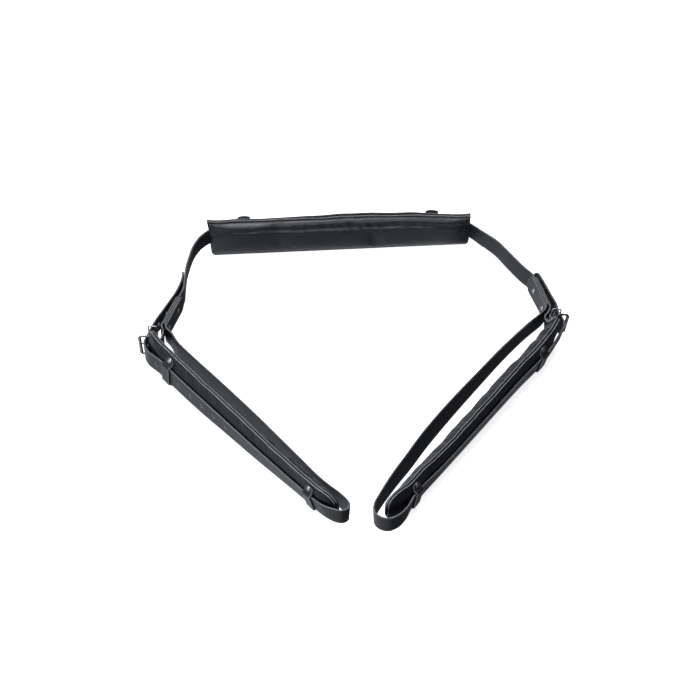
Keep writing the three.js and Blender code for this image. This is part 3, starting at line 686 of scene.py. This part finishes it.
# the strap-side pad covers: coarser grain, with a darker, less glossy copy of the pad leather's colour
# as painted shade
GRAINED_SHADED_LEATHER = leather(
    "pad_leather_grained_shaded", (0.004, 0.0045, 0.0062), 0.38,
    grain=0.40, grain_size=1.2, creases=0.18, sheen=0.28,
)
KEEPER_LEATHER = leather("keeper_leather_black", (0.006, 0.0066, 0.009), 0.38)
THREAD = leather(
    "waxed_thread", (0.02, 0.02, 0.022), 0.5, rubbed_and_highlit=(0.05, 0.05, 0.05), grain=0.5, grain_size=0.4
)
DARK_NICKEL = metal("dark_nickel_plate", (0.20, 0.19, 0.205), 0.22)
BRIGHT_NICKEL = metal("bright_nickel_plate", (0.40, 0.39, 0.41), 0.36)
ROLLER_STEEL = metal("roller_steel", (0.30, 0.27, 0.28), 0.28)
FOAM = foam_material()

# ---- pads

# cover outlines as (outwards, up from the pad's middle): a welt with its stitch groove, then a lobe
WELT = [(1.0, 28.2), (1.7, 28.5), (2.4, 28.2), (2.7, 27.4), (2.5, 26.0), (2.1, 25.2), (2.5, 24.4)]
STRAP_LOBE = [(3.4, 22.9), (4.3, 20.9), (5.9, 18.3), (7.7, 15.4), (8.9, 12.4), (9.2, 8.0), (9.2, 2.5)]
BODY_LOBE = [
    (4.4, 22.9), (6.9, 20.9), (9.9, 18.0), (12.2, 14.6), (13.5, 10.5), (14.0, 6.0), (14.1, 2.0),
]
BACK_LOBE = [(4.6, 23.6), (7.0, 22.0), (8.6, 19.6), (9.0, 17.2), (8.7, 15.2), (9.6, 12.9), (11.2, 10.0)]
BACK_FACE = [
    (12.2, 5.0), (12.6, 0.0), (12.6, -6.0), (12.0, -12.0), (10.6, -17.5), (8.0, -22.0), (4.6, -25.2),
]
INNER_FACE = [(0.8, y) for y in (26.5, 18, 9, 0, -9, -18, -26.5)]
FOAM_OUTLINE = [
    (6.2, 8), (5.2, 14), (2.6, 18), (-2.6, 18), (-6.5, 13), (-7.6, 6),
    (-7.6, -6), (-6.5, -13), (-2.6, -18), (2.6, -18), (5.2, -14), (6.2, -8),
]
FLAT_REACH = 2.6
END_FULLNESS = 0.12
EAR_REACH = 26
COVER_END_ROWS = (0, 0.4, 1.2, 2.4, 4, 6, 8.5, 11.5, 15, 19)
COVER_ROW_PITCH = 3.2
STITCH_LINE = 25.2
STITCH_PITCH = 4.4
STITCH_LENGTH = 3.3
STITCH_RADIUS = 0.42
CLOTH_FRAMES = 20
CLOTH_QUALITY = 5
CLOTH_MASS = 0.2
CLOTH_STRETCH = 20
CLOTH_SHEAR = 10
CLOTH_BENDING = 5
CLOTH_PRESSURE = 4
CLOTH_SHRINK = -0.004

# how far the back pad's ends are drawn in at each height: its top corners stand out as ears
LEFT_END = ((-28, -25.5, -21, 0, 18, 24, 28), (9.0, 5.5, 4.2, 3.0, 1.8, 0.3, -2.4))
RIGHT_END = ((-28, -25, -20, 0, 20, 28), (4.0, 2.0, 1.4, 1.0, 0.4, -1.2))


def half_loop(lobe):
    """A panel's outline from its lower welt to its upper one."""
    upper = WELT + lobe
    lower = [(x, -y) for x, y in upper]
    return np.array([*lower, *reversed(upper)])


OUTLINES = {
    "strap": half_loop(STRAP_LOBE),
    "body": half_loop(BODY_LOBE),
    "back": np.array(
        [(x, -y) for x, y in WELT] + list(reversed(BACK_FACE)) + list(reversed(WELT + BACK_LOBE))
    ),
}


def smooth_outline(points, per_span=2):
    return Spline(np.column_stack([points, np.zeros(len(points))])).at(
        np.linspace(0, 1, (len(points) - 1) * per_span + 1)
    )[:, :2]


def fullness(distance, reach):
    part = np.clip(np.asarray(distance, float) / reach, 0, 1)
    return np.sqrt(1 - (1 - part) ** 2)


class Pad:
    def __init__(self, prefix, ribbon, strap_side, ends, taper, keepers, keeper_names, seed):
        self.prefix, self.ribbon, self.strap_side = prefix, ribbon, strap_side
        self.ends, self.taper = ends, taper
        self.keepers = [k * ribbon.length for k in keepers]
        self.keeper_names, self.seed = keeper_names, seed
        self.eared = prefix == "back_pad"

    def swell(self, s):
        return fullness(np.minimum(s, self.ribbon.length - s), self.taper)

    def halves(self, s):
        """Half heights below and above the middle; each end is an arc cut off bluntly."""
        (low_blunt, low_round), (high_blunt, high_round) = self.ends
        high = self.ribbon.length - s
        low_end, high_end = fullness(s + low_blunt, low_round), fullness(high + high_blunt, high_round)
        rounded = np.where(s < high, low_end, high_end)
        height = np.clip(PAD_MIDDLE * rounded, 8, PAD_MIDDLE)
        if self.eared:
            return height, PAD_MIDDLE + 2.0 * np.exp(-np.minimum(s, high) / 5)
        return height, height

    def strap_offset(self, s):
        bulge = END_BULGE + (STRAP_BULGE - END_BULGE) * self.swell(s)
        return (bulge + STRAP_CLEARANCE + STRAP_THICKNESS / 2) * self.strap_side

    def place(self, s, x, y, direction):
        """Section point (x outwards, y up from the middle) at s, with the pad's own unevenness."""
        bottom, top = self.halves(s)
        swell = self.swell(s)
        full = np.clip((x - FLAT_REACH) / 3, 0, 1)
        fill = END_FULLNESS + (1 - END_FULLNESS) * swell
        width = x * (1 - full) + (FLAT_REACH + (x - FLAT_REACH) * fill) * full
        height = np.where(y > 0, y * top / PAD_MIDDLE, y * bottom / PAD_MIDDLE)
        upper = np.clip((y - 14) / 14, 0, 1)
        sway = ripple(s, (61, 143, 37), self.seed)
        rise = ripple(s, (88, 171, 47), self.seed + 2) * (1.1 if self.eared else 0.55)
        if self.eared:
            part = s / self.ribbon.length
            middle = np.clip((part - 0.3) / 0.15, 0, 1) * np.clip((0.88 - part) / 0.1, 0, 1)
            rise = rise + (1.6 if direction == self.strap_side else -0.3) * middle
            left = np.interp(y, *LEFT_END) * np.clip(1 - s / EAR_REACH, 0, 1) ** 2
            from_right = self.ribbon.length - s
            right = np.interp(y, *RIGHT_END) * np.clip(1 - from_right / EAR_REACH, 0, 1) ** 2
            s = s + left - right
        height = height + rise * upper ** 2
        n = width * direction + sway * 0.7 * upper ** 2
        return self.ribbon.at(s, n, height + PAD_MIDDLE)

    def stations(self, parts):
        at = [part * self.ribbon.length for part in parts]
        return [self.ribbon.station(s, float(self.strap_offset(s)), STRAP_HEIGHT_ON_PAD) for s in at]


def cover(pad, kind, direction):
    """One leather cover of a pad, with puckers by the seam, and how far cloth may move each point."""
    length = pad.ribbon.length
    outline = smooth_outline(OUTLINES[kind])
    ring = np.array([*outline, *INNER_FACE])
    middle = np.linspace(23, length - 23, int((length - 46) / COVER_ROW_PITCH))
    rows = np.array([*COVER_END_ROWS, *middle, *[length - d for d in reversed(COVER_END_ROWS)]])
    s, x = np.meshgrid(rows, ring[:, 0], indexing="ij")
    _, y = np.meshgrid(rows, ring[:, 1], indexing="ij")
    seed = pad.seed + (3 if kind == "strap" else 0)
    soft = np.clip((x - 3) / 4, 0, 1) * pad.swell(s)
    pucker_zone = np.exp(-((np.abs(y) - 21.5) / 3.2) ** 2)
    puckers = ripple(s + y * 0.6, (7.3, 11.9, 17.0), seed) * 0.42 * pucker_zone
    if kind == "back":
        drift = 2.0 * ripple(s, (97, 61), seed)
        crease = np.exp(-((y - 15.6 - drift) / 2.6) ** 2)
        busy = 0.2 + 0.8 * np.exp(-((s - length * 0.56) / 85) ** 2)
        waves = ripple(s + 1.4 * y, (13, 21, 34), seed) * busy
        relief = waves * 1.9 * np.exp(-((y - 15.5) / 4.5) ** 2)
        relief = relief - 0.9 * crease + 0.4 * ripple(s, (71, 113), seed)
    elif kind == "body":
        relief = ripple(s + 0.5 * y, (47, 79, 29), seed) * 0.7
        relief = relief + ripple(s - 0.8 * y, (15, 23), seed) * 0.25
        near_top = np.clip((s - length * 0.72) / (length * 0.2), 0, 1)
        relief = relief + near_top * ripple(s, (43, 31), seed + 1) * 1.3
    else:
        relief = ripple(s + 0.4 * y, (53, 31), seed) * 0.12 - 0.25
    x = x + soft * relief + puckers * np.clip((x - 2.4) / 2, 0, 1)
    # the welt's outer corners are lightened towards the edge colour, more on the shoulder pads: painted
    # highlight along the welt lines
    welt = np.clip((np.abs(ring[:, 1]) - 26.6) / 1.2, 0, 1) * (ring[:, 0] > 1)
    welt_rub_and_highlight = np.tile(welt * (0.8 if pad.eared else 1.4), len(rows))
    shape = Shape()
    points = pad.place(s.ravel(), x.ravel(), y.ravel(), direction)
    shape.add(points, grid_faces(len(rows), len(ring)), welt_rub_and_highlight)
    room = np.where(y > 8, 2.0, 0.7) if kind == "back" else np.full(s.shape, 2.0)
    if kind == "strap":
        room = np.where(np.abs(y) < 14, 0.25, 1.0)
        for place in pad.keepers:
            room = np.minimum(room, np.clip((np.abs(s - place) - 10) / 8, 0.05, 1) * 1.2)
    room = room * np.clip((24.6 - np.abs(y)) / 3, 0, 1) * (x > 1)
    return shape, room.ravel()


def swell_covers(covers):
    """Cloth simulation: air swells the covers between pinned seams, and spare leather puckers."""
    scene = bpy.context.scene
    for obj, room in covers:
        seams = obj.vertex_groups.new(name="seams")
        seams.add([int(i) for i in np.flatnonzero(room <= 0)], 1.0, "REPLACE")
        cloth = obj.modifiers.new("cloth", "CLOTH")
        settings = cloth.settings
        settings.quality, settings.mass = CLOTH_QUALITY, CLOTH_MASS
        settings.tension_stiffness = settings.compression_stiffness = CLOTH_STRETCH
        settings.shear_stiffness, settings.bending_stiffness = CLOTH_SHEAR, CLOTH_BENDING
        settings.use_pressure, settings.uniform_pressure_force = True, CLOTH_PRESSURE
        settings.shrink_min = CLOTH_SHRINK
        settings.vertex_group_mass = "seams"
        settings.effector_weights.gravity = 0
        cloth.point_cache.frame_start, cloth.point_cache.frame_end = 1, CLOTH_FRAMES
    for frame_number in range(1, CLOTH_FRAMES + 1):
        scene.frame_set(frame_number)
    depsgraph = bpy.context.evaluated_depsgraph_get()
    for obj, room in covers:
        before, after = (np.empty(len(room) * 3) for _ in range(2))
        obj.data.vertices.foreach_get("co", before)
        obj.evaluated_get(depsgraph).data.vertices.foreach_get("co", after)
        move = (after - before).reshape(-1, 3)
        length = np.maximum(np.linalg.norm(move, axis=1), 1e-9)
        limit = np.maximum(room, 1e-6) * MM
        move *= (limit * np.tanh(length / limit) / length)[:, None]
        obj.data.vertices.foreach_set("co", before + move.ravel())
        obj.modifiers.clear()
        obj.vertex_groups.clear()
        obj.data.update()
    scene.frame_set(1)


def stitching(pad):
    """Thread stitches in the grooves beside both welts, on both covers."""
    shape = Shape()
    margin = 7
    count = int((pad.ribbon.length - 2 * margin) / STITCH_PITCH)
    t = np.linspace(0, 1, 5)
    radius = STITCH_RADIUS * np.array([0.45, 0.9, 1.0, 0.9, 0.45])
    lift = 2.05 + 0.42 * np.sin(math.pi * t)
    for direction in (1, -1):
        for y in (STITCH_LINE, -STITCH_LINE):
            slant = y + (t - 0.5) * 0.5
            for k in range(count):
                s = margin + k * STITCH_PITCH + t * STITCH_LENGTH
                wire(shape, pad.place(s, lift, slant, direction), radius, 6)
    return shape


def foam_core(pad):
    """The foam block inside both covers."""
    ring = np.array(FOAM_OUTLINE) * np.array([pad.strap_side, 1])
    rows = np.linspace(9, pad.ribbon.length - 9, int(pad.ribbon.length / 7))
    s, x = np.meshgrid(rows, ring[:, 0], indexing="ij")
    _, y = np.meshgrid(rows, ring[:, 1], indexing="ij")
    bottom, _ = pad.halves(s)
    width = x * (END_FULLNESS + (1 - END_FULLNESS) * pad.swell(s)) * 0.85
    height = y * bottom / PAD_MIDDLE + PAD_MIDDLE
    shape = Shape()
    shape.add(pad.ribbon.at(s.ravel(), width.ravel(), height.ravel()), grid_faces(len(rows), len(ring)))
    return shape


def strap_side_x(y):
    """How far the strap-side cover stands out at height y from the middle."""
    outline = smooth_outline(OUTLINES["strap"], 4)
    upper = outline[outline[:, 1] > 0]
    order = np.argsort(upper[:, 1])
    return float(np.interp(abs(y), upper[order, 1], upper[order, 0]))


def keeper_path(pad, s):
    """The band's middle line, from its upper foot over the strap to its lower one."""
    lid = abs(float(pad.strap_offset(s))) + STRAP_THICKNESS / 2 + 0.9
    half = KEEPER_THICKNESS / 2 + 0.25
    feet = [(strap_side_x(y) + half * 0.8, y + half * 0.7) for y in (22.6, 20.5, 18.0, 15.8)]
    crown = lid + 0.85
    shoulder = [(strap_side_x(14.2) + 1.6, 14.6), (lid - 1.2, 14.0), (lid + 0.5, 13.2), (crown, 11.4)]
    upper = feet + shoulder + [(crown, 6), (crown, 0)]
    tab = [(9.0, 28.9), (7.8, 27.2), (6.4, 25.0)] if pad.eared else []
    return np.array([*tab, *upper, *[(x, -y) for x, y in reversed(upper[:-1])]])


def keeper(pad, s):
    """A leather band over the strap with rounded tabs, riveted through at each foot."""
    line = keeper_path(pad, s)
    path = Spline(np.column_stack([line, np.zeros(len(line))]))
    t = np.linspace(0, 1, 801)
    p = path.at(t)
    lengths = np.concatenate([[0], np.cumsum(np.linalg.norm(np.diff(p, axis=0), axis=1))])

    def place(d, n, h):
        u = np.interp(d, lengths, t)
        q, tangent = path.at(u), path.tangent(u)
        x, y = q[:, 0] + tangent[:, 1] * -n, q[:, 1] + tangent[:, 0] * n
        return pad.ribbon.at(s + h, x * pad.strap_side, y + PAD_MIDDLE)

    shape = Shape()
    strip(
        shape, place, 0, lengths[-1], KEEPER_WIDTH / 2, KEEPER_THICKNESS / 2,
        round_start=True, round_end=True, tip=KEEPER_SHORT_TIP if pad.eared else KEEPER_TIP, step=1.2,
    )
    return shape


def slope_matrix(pad, s, sign, rise):
    """Rivet frame at a keeper's foot: y points out of the leather."""
    reach = KEEPER_RIVET_REACH
    a, b = (np.array([strap_side_x(y), y]) for y in (reach - 1.5, reach + 1.5))
    slope = b - a
    normal = unit(np.array([slope[1], -slope[0]]))
    seat = (a + b) / 2 + normal * rise
    _, along, side, up = (v[0] for v in pad.ribbon.frames(np.array([s])))
    out = side * normal[0] * pad.strap_side + up * normal[1] * sign
    m = np.eye(4)
    m[:3, 0], m[:3, 1], m[:3, 2] = along, out, np.cross(along, out)
    n, h = seat[0] * pad.strap_side, PAD_MIDDLE + seat[1] * sign
    m[:3, 3] = pad.ribbon.at(np.array([s]), n, h)[0]
    return m


CAP_PROFILE = [
    (0.05, 2.0), (0.9, 1.95), (1.7, 1.78), (2.4, 1.5), (3.0, 1.12),
    (3.45, 0.72), (3.75, 0.4), (3.9, 0.16), (3.85, 0.02), (3.6, 0.0),
]


def rivet(matrix, grip, tailed=False):
    """A domed rivet with its cap on +y, and a turned-over tail when it has one."""
    shape = Shape()
    profile = [*CAP_PROFILE, (SHANK_RADIUS, 0.0), (SHANK_RADIUS, -grip)]
    if tailed:
        r, t = TAIL_RADIUS, TAIL_HEIGHT
        profile += [
            (r, -grip), (r + 0.15, -grip - t * 0.3), (r - 0.3, -grip - t * 0.85), (r * 0.6, -grip - t),
            (r * 0.45, -grip - t * 0.8), (0.05, -grip - t * 0.7),
        ]
    else:
        profile += [(0.05, -grip)]
    lathe(shape, profile, matrix)
    return shape


def add_pad(pad, hand, body):
    prefix = pad.prefix
    body_kind = "back" if pad.eared else "body"
    pieces = []
    for kind, direction, name, node in (
        ("strap", pad.strap_side, "strap_cover", "outer_panel"),
        (body_kind, -pad.strap_side, "body_cover", "body_panel"),
    ):
        shape, room = cover(pad, kind, direction)
        # the strap-side covers take the darker copy of the pad leather: painted shade
        material = GRAINED_SHADED_LEATHER if kind == "strap" else PAD_LEATHER
        stands_for = [f"{prefix}_{node}"]
        piece = shape.object(f"{prefix}_{name}", hand, body, "pad_leather", material, stands_for)
        pieces.append((piece, room))
    swell_covers(pieces)
    for piece, _ in pieces:
        subdivision = piece.modifiers.new("smooth", "SUBSURF")
        subdivision.levels = subdivision.render_levels = 1
    foam_core(pad).object(f"{prefix}_foam_core", hand, body, "foam", FOAM, [f"{prefix}_foam"], 1)
    stitching(pad).object(f"{prefix}_stitching", hand, body, "pad_leather", THREAD)
    for name, s in zip(pad.keeper_names, pad.keepers):
        label = f"{prefix}_keeper_{name}"
        keeper(pad, s).object(f"{label}_band", hand, body, "strap_leather", KEEPER_LEATHER, [label])
        for end, sign in (("lower", -1), ("upper", 1)):
            rivet(slope_matrix(pad, s, sign, KEEPER_STACK), KEEPER_STACK + 2).object(
                f"{label}_cap_{end}", hand, body, "dark_nickel", BRIGHT_NICKEL, [f"{label}_rivet_{end}"]
            )


# ---- fittings


def loop_path(y0, y1, half_height, corner):
    """A closed rectangle with rounded corners, from y0 to y1 and half_height each way in z."""
    corners = (
        (y1 - corner, half_height - corner, 0),
        (y0 + corner, half_height - corner, 90),
        (y0 + corner, corner - half_height, 180),
        (y1 - corner, corner - half_height, 270),
    )
    arcs = []
    for y, z, start in corners:
        angles = [math.radians(start + a) for a in range(0, 91, 15)]
        arcs.append([np.array([0, y + corner * math.cos(a), z + corner * math.sin(a)]) for a in angles])
    path = []
    for arc, following in zip(arcs, arcs[1:] + arcs[:1]):
        path += arc + [arc[-1] + (following[0] - arc[-1]) * k / 6 for k in range(1, 6)]
    return np.array(path)


def bar_matrix(m, offset=0.0):
    """A strap's frame moved sideways, with its y axis turned up along a buckle's bar."""
    bar = m.copy()
    bar[:3, 1], bar[:3, 2] = m[:3, 2], -m[:3, 1]
    bar[:3, 3] = m[:3, 3] + m[:3, 1] * offset
    return bar


def add_fittings(side, strap, buckle_s, ring_s):
    """The buckle's frame, roller and prong, and the loose strap ring."""
    name, hand = side["name"], side["hand"]
    middle = STRAP_WIDTH / 2
    roller_y = BASE_BAR_OFFSET - BUCKLE_DEPTH
    at_buckle = strap.matrix(buckle_s, 0, middle)

    shape = Shape()
    path = loop_path(roller_y, BASE_BAR_OFFSET, BUCKLE_HALF_HEIGHT, BUCKLE_CORNER)
    wire(shape, path, WIRE_RADIUS, 18, closed=True, matrix=at_buckle)
    node = f"{name}_buckle_frame"
    shape.object(f"{node}_wire", hand, node, "dark_nickel", DARK_NICKEL, [node])

    half, r = ROLLER_LENGTH / 2, ROLLER_RADIUS
    half_roller = [
        (r - 0.1, half - 1.9), (r, half - 1.6), (r, half - 0.3), (r - 0.25, half), (ROLLER_BORE, half),
    ]
    shape = Shape()
    profile = [(r, -y) for r, y in reversed(half_roller)] + half_roller
    lathe(shape, profile, bar_matrix(at_buckle, roller_y), closed=True)
    node = f"{name}_buckle_roller"
    shape.object(f"{node}_tube", hand, node, "dark_nickel", ROLLER_STEEL, [node])

    shape = Shape()
    inner = WIRE_RADIUS + 0.35
    half_eye = [(inner + 1.3, 1.2), (inner + 1.0, 1.6), (inner, 1.6)]
    profile = [(r, -y) for r, y in reversed(half_eye)] + half_eye
    lathe(shape, profile, bar_matrix(at_buckle, BASE_BAR_OFFSET), closed=True)
    lift = ROLLER_RADIUS + PRONG_RADIUS + 0.2
    course = Spline([
        (0, BASE_BAR_OFFSET - inner - 0.4, 0), (-0.4, 0, 0), (lift - 1, roller_y + 4, 0),
        (lift, roller_y, 0), (lift - 0.5, roller_y - 2.2, 0),
    ])
    t = np.linspace(0, 1, 22)
    wire(shape, course.at(t), PRONG_RADIUS * np.where(t > 0.93, 0.72, 1), 12, matrix=at_buckle)
    node = f"{name}_buckle_prong"
    shape.object(f"{node}_pin", hand, node, "dark_nickel", BRIGHT_NICKEL, [node])

    shape = Shape()
    path = loop_path(RING_OUTER_BAR, RING_INNER_BAR, RING_HALF_HEIGHT, RING_CORNER)
    wire(shape, path, RING_WIRE_RADIUS, 16, closed=True, matrix=strap.matrix(ring_s, 0, middle))
    node = f"{name}_strap_ring"
    shape.object(f"{node}_wire", hand, node, "dark_nickel", BRIGHT_NICKEL, [node])


# ---- one side


def buckle_strap(side, long_strap, buckle_s):
    """The buckle strap: a riveted strap hooked to the base bar, its end folded round the bar."""
    ribbon = Ribbon(
        [joint_station(side, s, LAYER_PITCH) for s in LOOP_STATIONS]
        + list(side["hook"])
        + [long_strap.station(buckle_s, BASE_BAR_OFFSET, 0)]
    )
    shape = Shape()
    half, end = STRAP_WIDTH / 2, ribbon.length - 1.2
    strip(shape, on_ribbon(ribbon), 0, end, half, STRAP_THICKNESS / 2, round_start=True, step=2.5)
    fold = on_ribbon(ribbon, FOLD_OFFSET)
    strip(shape, fold, end - FOLD_LENGTH, end, half, FOLD_THICKNESS / 2, step=2)
    bar = bar_matrix(long_strap.matrix(buckle_s, BASE_BAR_OFFSET, half))
    outer, bore, slot = EYE_RADIUS, EYE_BORE, PRONG_SLOT
    for low, high in ((-half, -slot), (slot, half)):
        profile = [(bore, low), (outer - 0.5, low), (outer, low + 0.5)]
        profile += [(outer, high - 0.5), (outer - 0.5, high), (bore, high)]
        lathe(shape, profile, bar, closed=True)
    return shape


def add_side(side):
    """A shoulder pad, its long strap and buckle strap, the rivets that join them and the fittings."""
    name, hand = side["name"], side["hand"]
    pad = Pad(
        f"{name}_pad", Ribbon(standing(side["pad"])), -1, SHOULDER_ENDS, SHOULDER_TAPER,
        side["keepers"], ("lower", "upper"), side["seed"],
    )
    add_pad(pad, hand, f"{name}_pad")
    long_strap = Ribbon(
        [joint_station(side, s, -LAYER_PITCH) for s in LOOP_STATIONS]
        + list(side["inner_run"])
        + list(side["bend"])
        + pad.stations(LONG_STRAP_ON_PAD)
        + list(side["upper_run"])
        + [side["buckle"], side["ring"]]
        + list(side["tail"])
    )
    buckle_s = long_strap.nearest(*side["buckle"][:2])
    ring_s = long_strap.nearest(*side["ring"][:2])
    holes = [buckle_s + k * HOLE_PITCH for k in range(-HOLES_BELOW_BUCKLE, HOLES_ABOVE_BUCKLE + 1)]
    shape = Shape()
    strip(
        shape, on_ribbon(long_strap), 0, long_strap.length, STRAP_WIDTH / 2, STRAP_THICKNESS / 2,
        round_start=True, round_end=True, holes=holes,
    )
    hooked = buckle_strap(side, long_strap, buckle_s)
    for node, piece in (("long_strap", shape), ("buckle_strap", hooked)):
        label = f"{name}_{node}"
        piece.object(f"{label}_leather", hand, "straps", "strap_leather", STRAP_LEATHER, [label])
    seat = LAYER_PITCH + STRAP_THICKNESS / 2 + 0.1
    for label, s in zip(("lower", "upper"), JOINT_RIVETS):
        m = joint_matrix(side, s, -seat)
        m[:3, 1], m[:3, 2] = -m[:3, 1], -m[:3, 2]
        rivet(m, 2 * seat, tailed=True).object(
            f"{name}_joint_cap_{label}", hand, "straps", "dark_nickel", BRIGHT_NICKEL,
            [f"{name}_joint_rivet_{label}"],
        )
    add_fittings(side, long_strap, buckle_s, ring_s)


def add_back():
    """The back strap, from joint to joint behind the back pad, and the pad."""
    right, left = ([joint_station(side, s, 0) for s in BACK_STRAP_STATIONS] for side in SIDES)
    flip = np.array([-1, 1, 1])
    mirrored = [(foot * flip, head * flip) for foot, head in reversed(left)]
    pad = Pad(
        "back_pad", Ribbon(standing(BACK_PAD)), 1, BACK_ENDS, BACK_TAPER,
        BACK_KEEPERS, ("left", "right"), BACK_SEED,
    )
    add_pad(pad, 1, "back_pad")
    ribbon = Ribbon(
        mirrored
        + list(BACK_STRAP_LEFT)
        + pad.stations(BACK_STRAP_ON_PAD)
        + list(BACK_STRAP_RIGHT)
        + right
    )
    shape = Shape()
    strip(shape, on_ribbon(ribbon), 0, ribbon.length, STRAP_WIDTH / 2, STRAP_THICKNESS / 2)
    shape.object("back_strap_leather", 1, "straps", "strap_leather", STRAP_LEATHER, ["back_strap"])


add_back()
for one in SIDES:
    add_side(one)

# ---- floor, light and camera, in m

FLOOR_HALF = 6.0
FLOOR_DROP = 0.0003

# area lights that face the origin: (name, place, size, watts)
LIGHTS = (
    ("key", (-2.4, -1.5, 1.7), (1.2, 1.2), 42),
    ("top", (0.0, 0.5, 3.2), (2.4, 2.4), 120),
    ("front", (-0.3, -1.9, 2.6), (2.2, 0.9), 26),
)

WORLD_COLOR = (0.85, 0.91, 1.0, 1)
WORLD_STRENGTH = 0.95
# the walls fade along an axis of the view direction: (axis, from, to, brightness at the far end)
WORLD_FADES = (("X", -0.25, 0.5, 0.10), ("Z", -0.1, 0.45, 0.25))

CAMERA_AIM = (-0.0055, 0.08815, 0)
CAMERA_ELEVATION = 35
CAMERA_DISTANCE = 3
CAMERA_SPAN = 0.98


def add_floor():
    mesh = bpy.data.meshes.new("studio_floor")
    a, z = FLOOR_HALF, float(CAD_BOX[0][2]) - FLOOR_DROP
    mesh.from_pydata([(-a, -a, z), (a, -a, z), (a, a, z), (-a, a, z)], [], [(0, 1, 2, 3)])
    mesh.materials.append(floor_material())
    obj = new_object("studio_floor", mesh)
    obj.visible_glossy = False


def add_light(name, place, size, power):
    data = bpy.data.lights.new(name, "AREA")
    data.shape, data.size, data.size_y, data.energy = "RECTANGLE", size[0], size[1], power
    obj = new_object(name, data)
    obj.location = place
    obj.rotation_euler = (-Vector(place)).to_track_quat("-Z", "Y").to_euler()


def add_camera():
    data = bpy.data.cameras.new("camera")
    data.type, data.ortho_scale = "ORTHO", CAMERA_SPAN
    data.clip_start, data.clip_end = 0.05, 20
    obj = new_object("camera", data)
    elevation = math.radians(CAMERA_ELEVATION)
    back = Vector((0, -math.cos(elevation), math.sin(elevation)))
    obj.location = Vector(CAMERA_AIM) + back * CAMERA_DISTANCE
    obj.rotation_euler = (-back).to_track_quat("-Z", "Y").to_euler()
    bpy.context.scene.camera = obj


def add_world():
    """Studio walls: pale on the left and near the horizon, darker on the right and overhead."""
    world = bpy.data.worlds.new("studio")
    world.use_nodes = True
    nodes, links = world.node_tree.nodes, world.node_tree.links
    parts = nodes.new("ShaderNodeSeparateXYZ")
    links.new(nodes.new("ShaderNodeTexCoord").outputs["Generated"], parts.inputs[0])

    def times(a):
        node = nodes.new("ShaderNodeMath")
        node.operation = "MULTIPLY"
        links.new(a, node.inputs[0])
        return node

    ramps = []
    for axis, low, high, end in WORLD_FADES:
        ramp = nodes.new("ShaderNodeMapRange")
        ramp.interpolation_type = "SMOOTHSTEP"
        for key, value in (("From Min", low), ("From Max", high), ("To Min", 1.0), ("To Max", end)):
            ramp.inputs[key].default_value = value
        links.new(parts.outputs[axis], ramp.inputs["Value"])
        ramps.append(ramp.outputs["Result"])
    product = times(ramps[0])
    links.new(ramps[1], product.inputs[1])
    scaled = times(product.outputs[0])
    scaled.inputs[1].default_value = WORLD_STRENGTH
    nodes["Background"].inputs["Color"].default_value = WORLD_COLOR
    links.new(scaled.outputs[0], nodes["Background"].inputs["Strength"])
    bpy.context.scene.world = world
    bpy.context.scene.view_settings.view_transform = "Standard"


add_floor()
for light in LIGHTS:
    add_light(*light)
add_world()
add_camera()
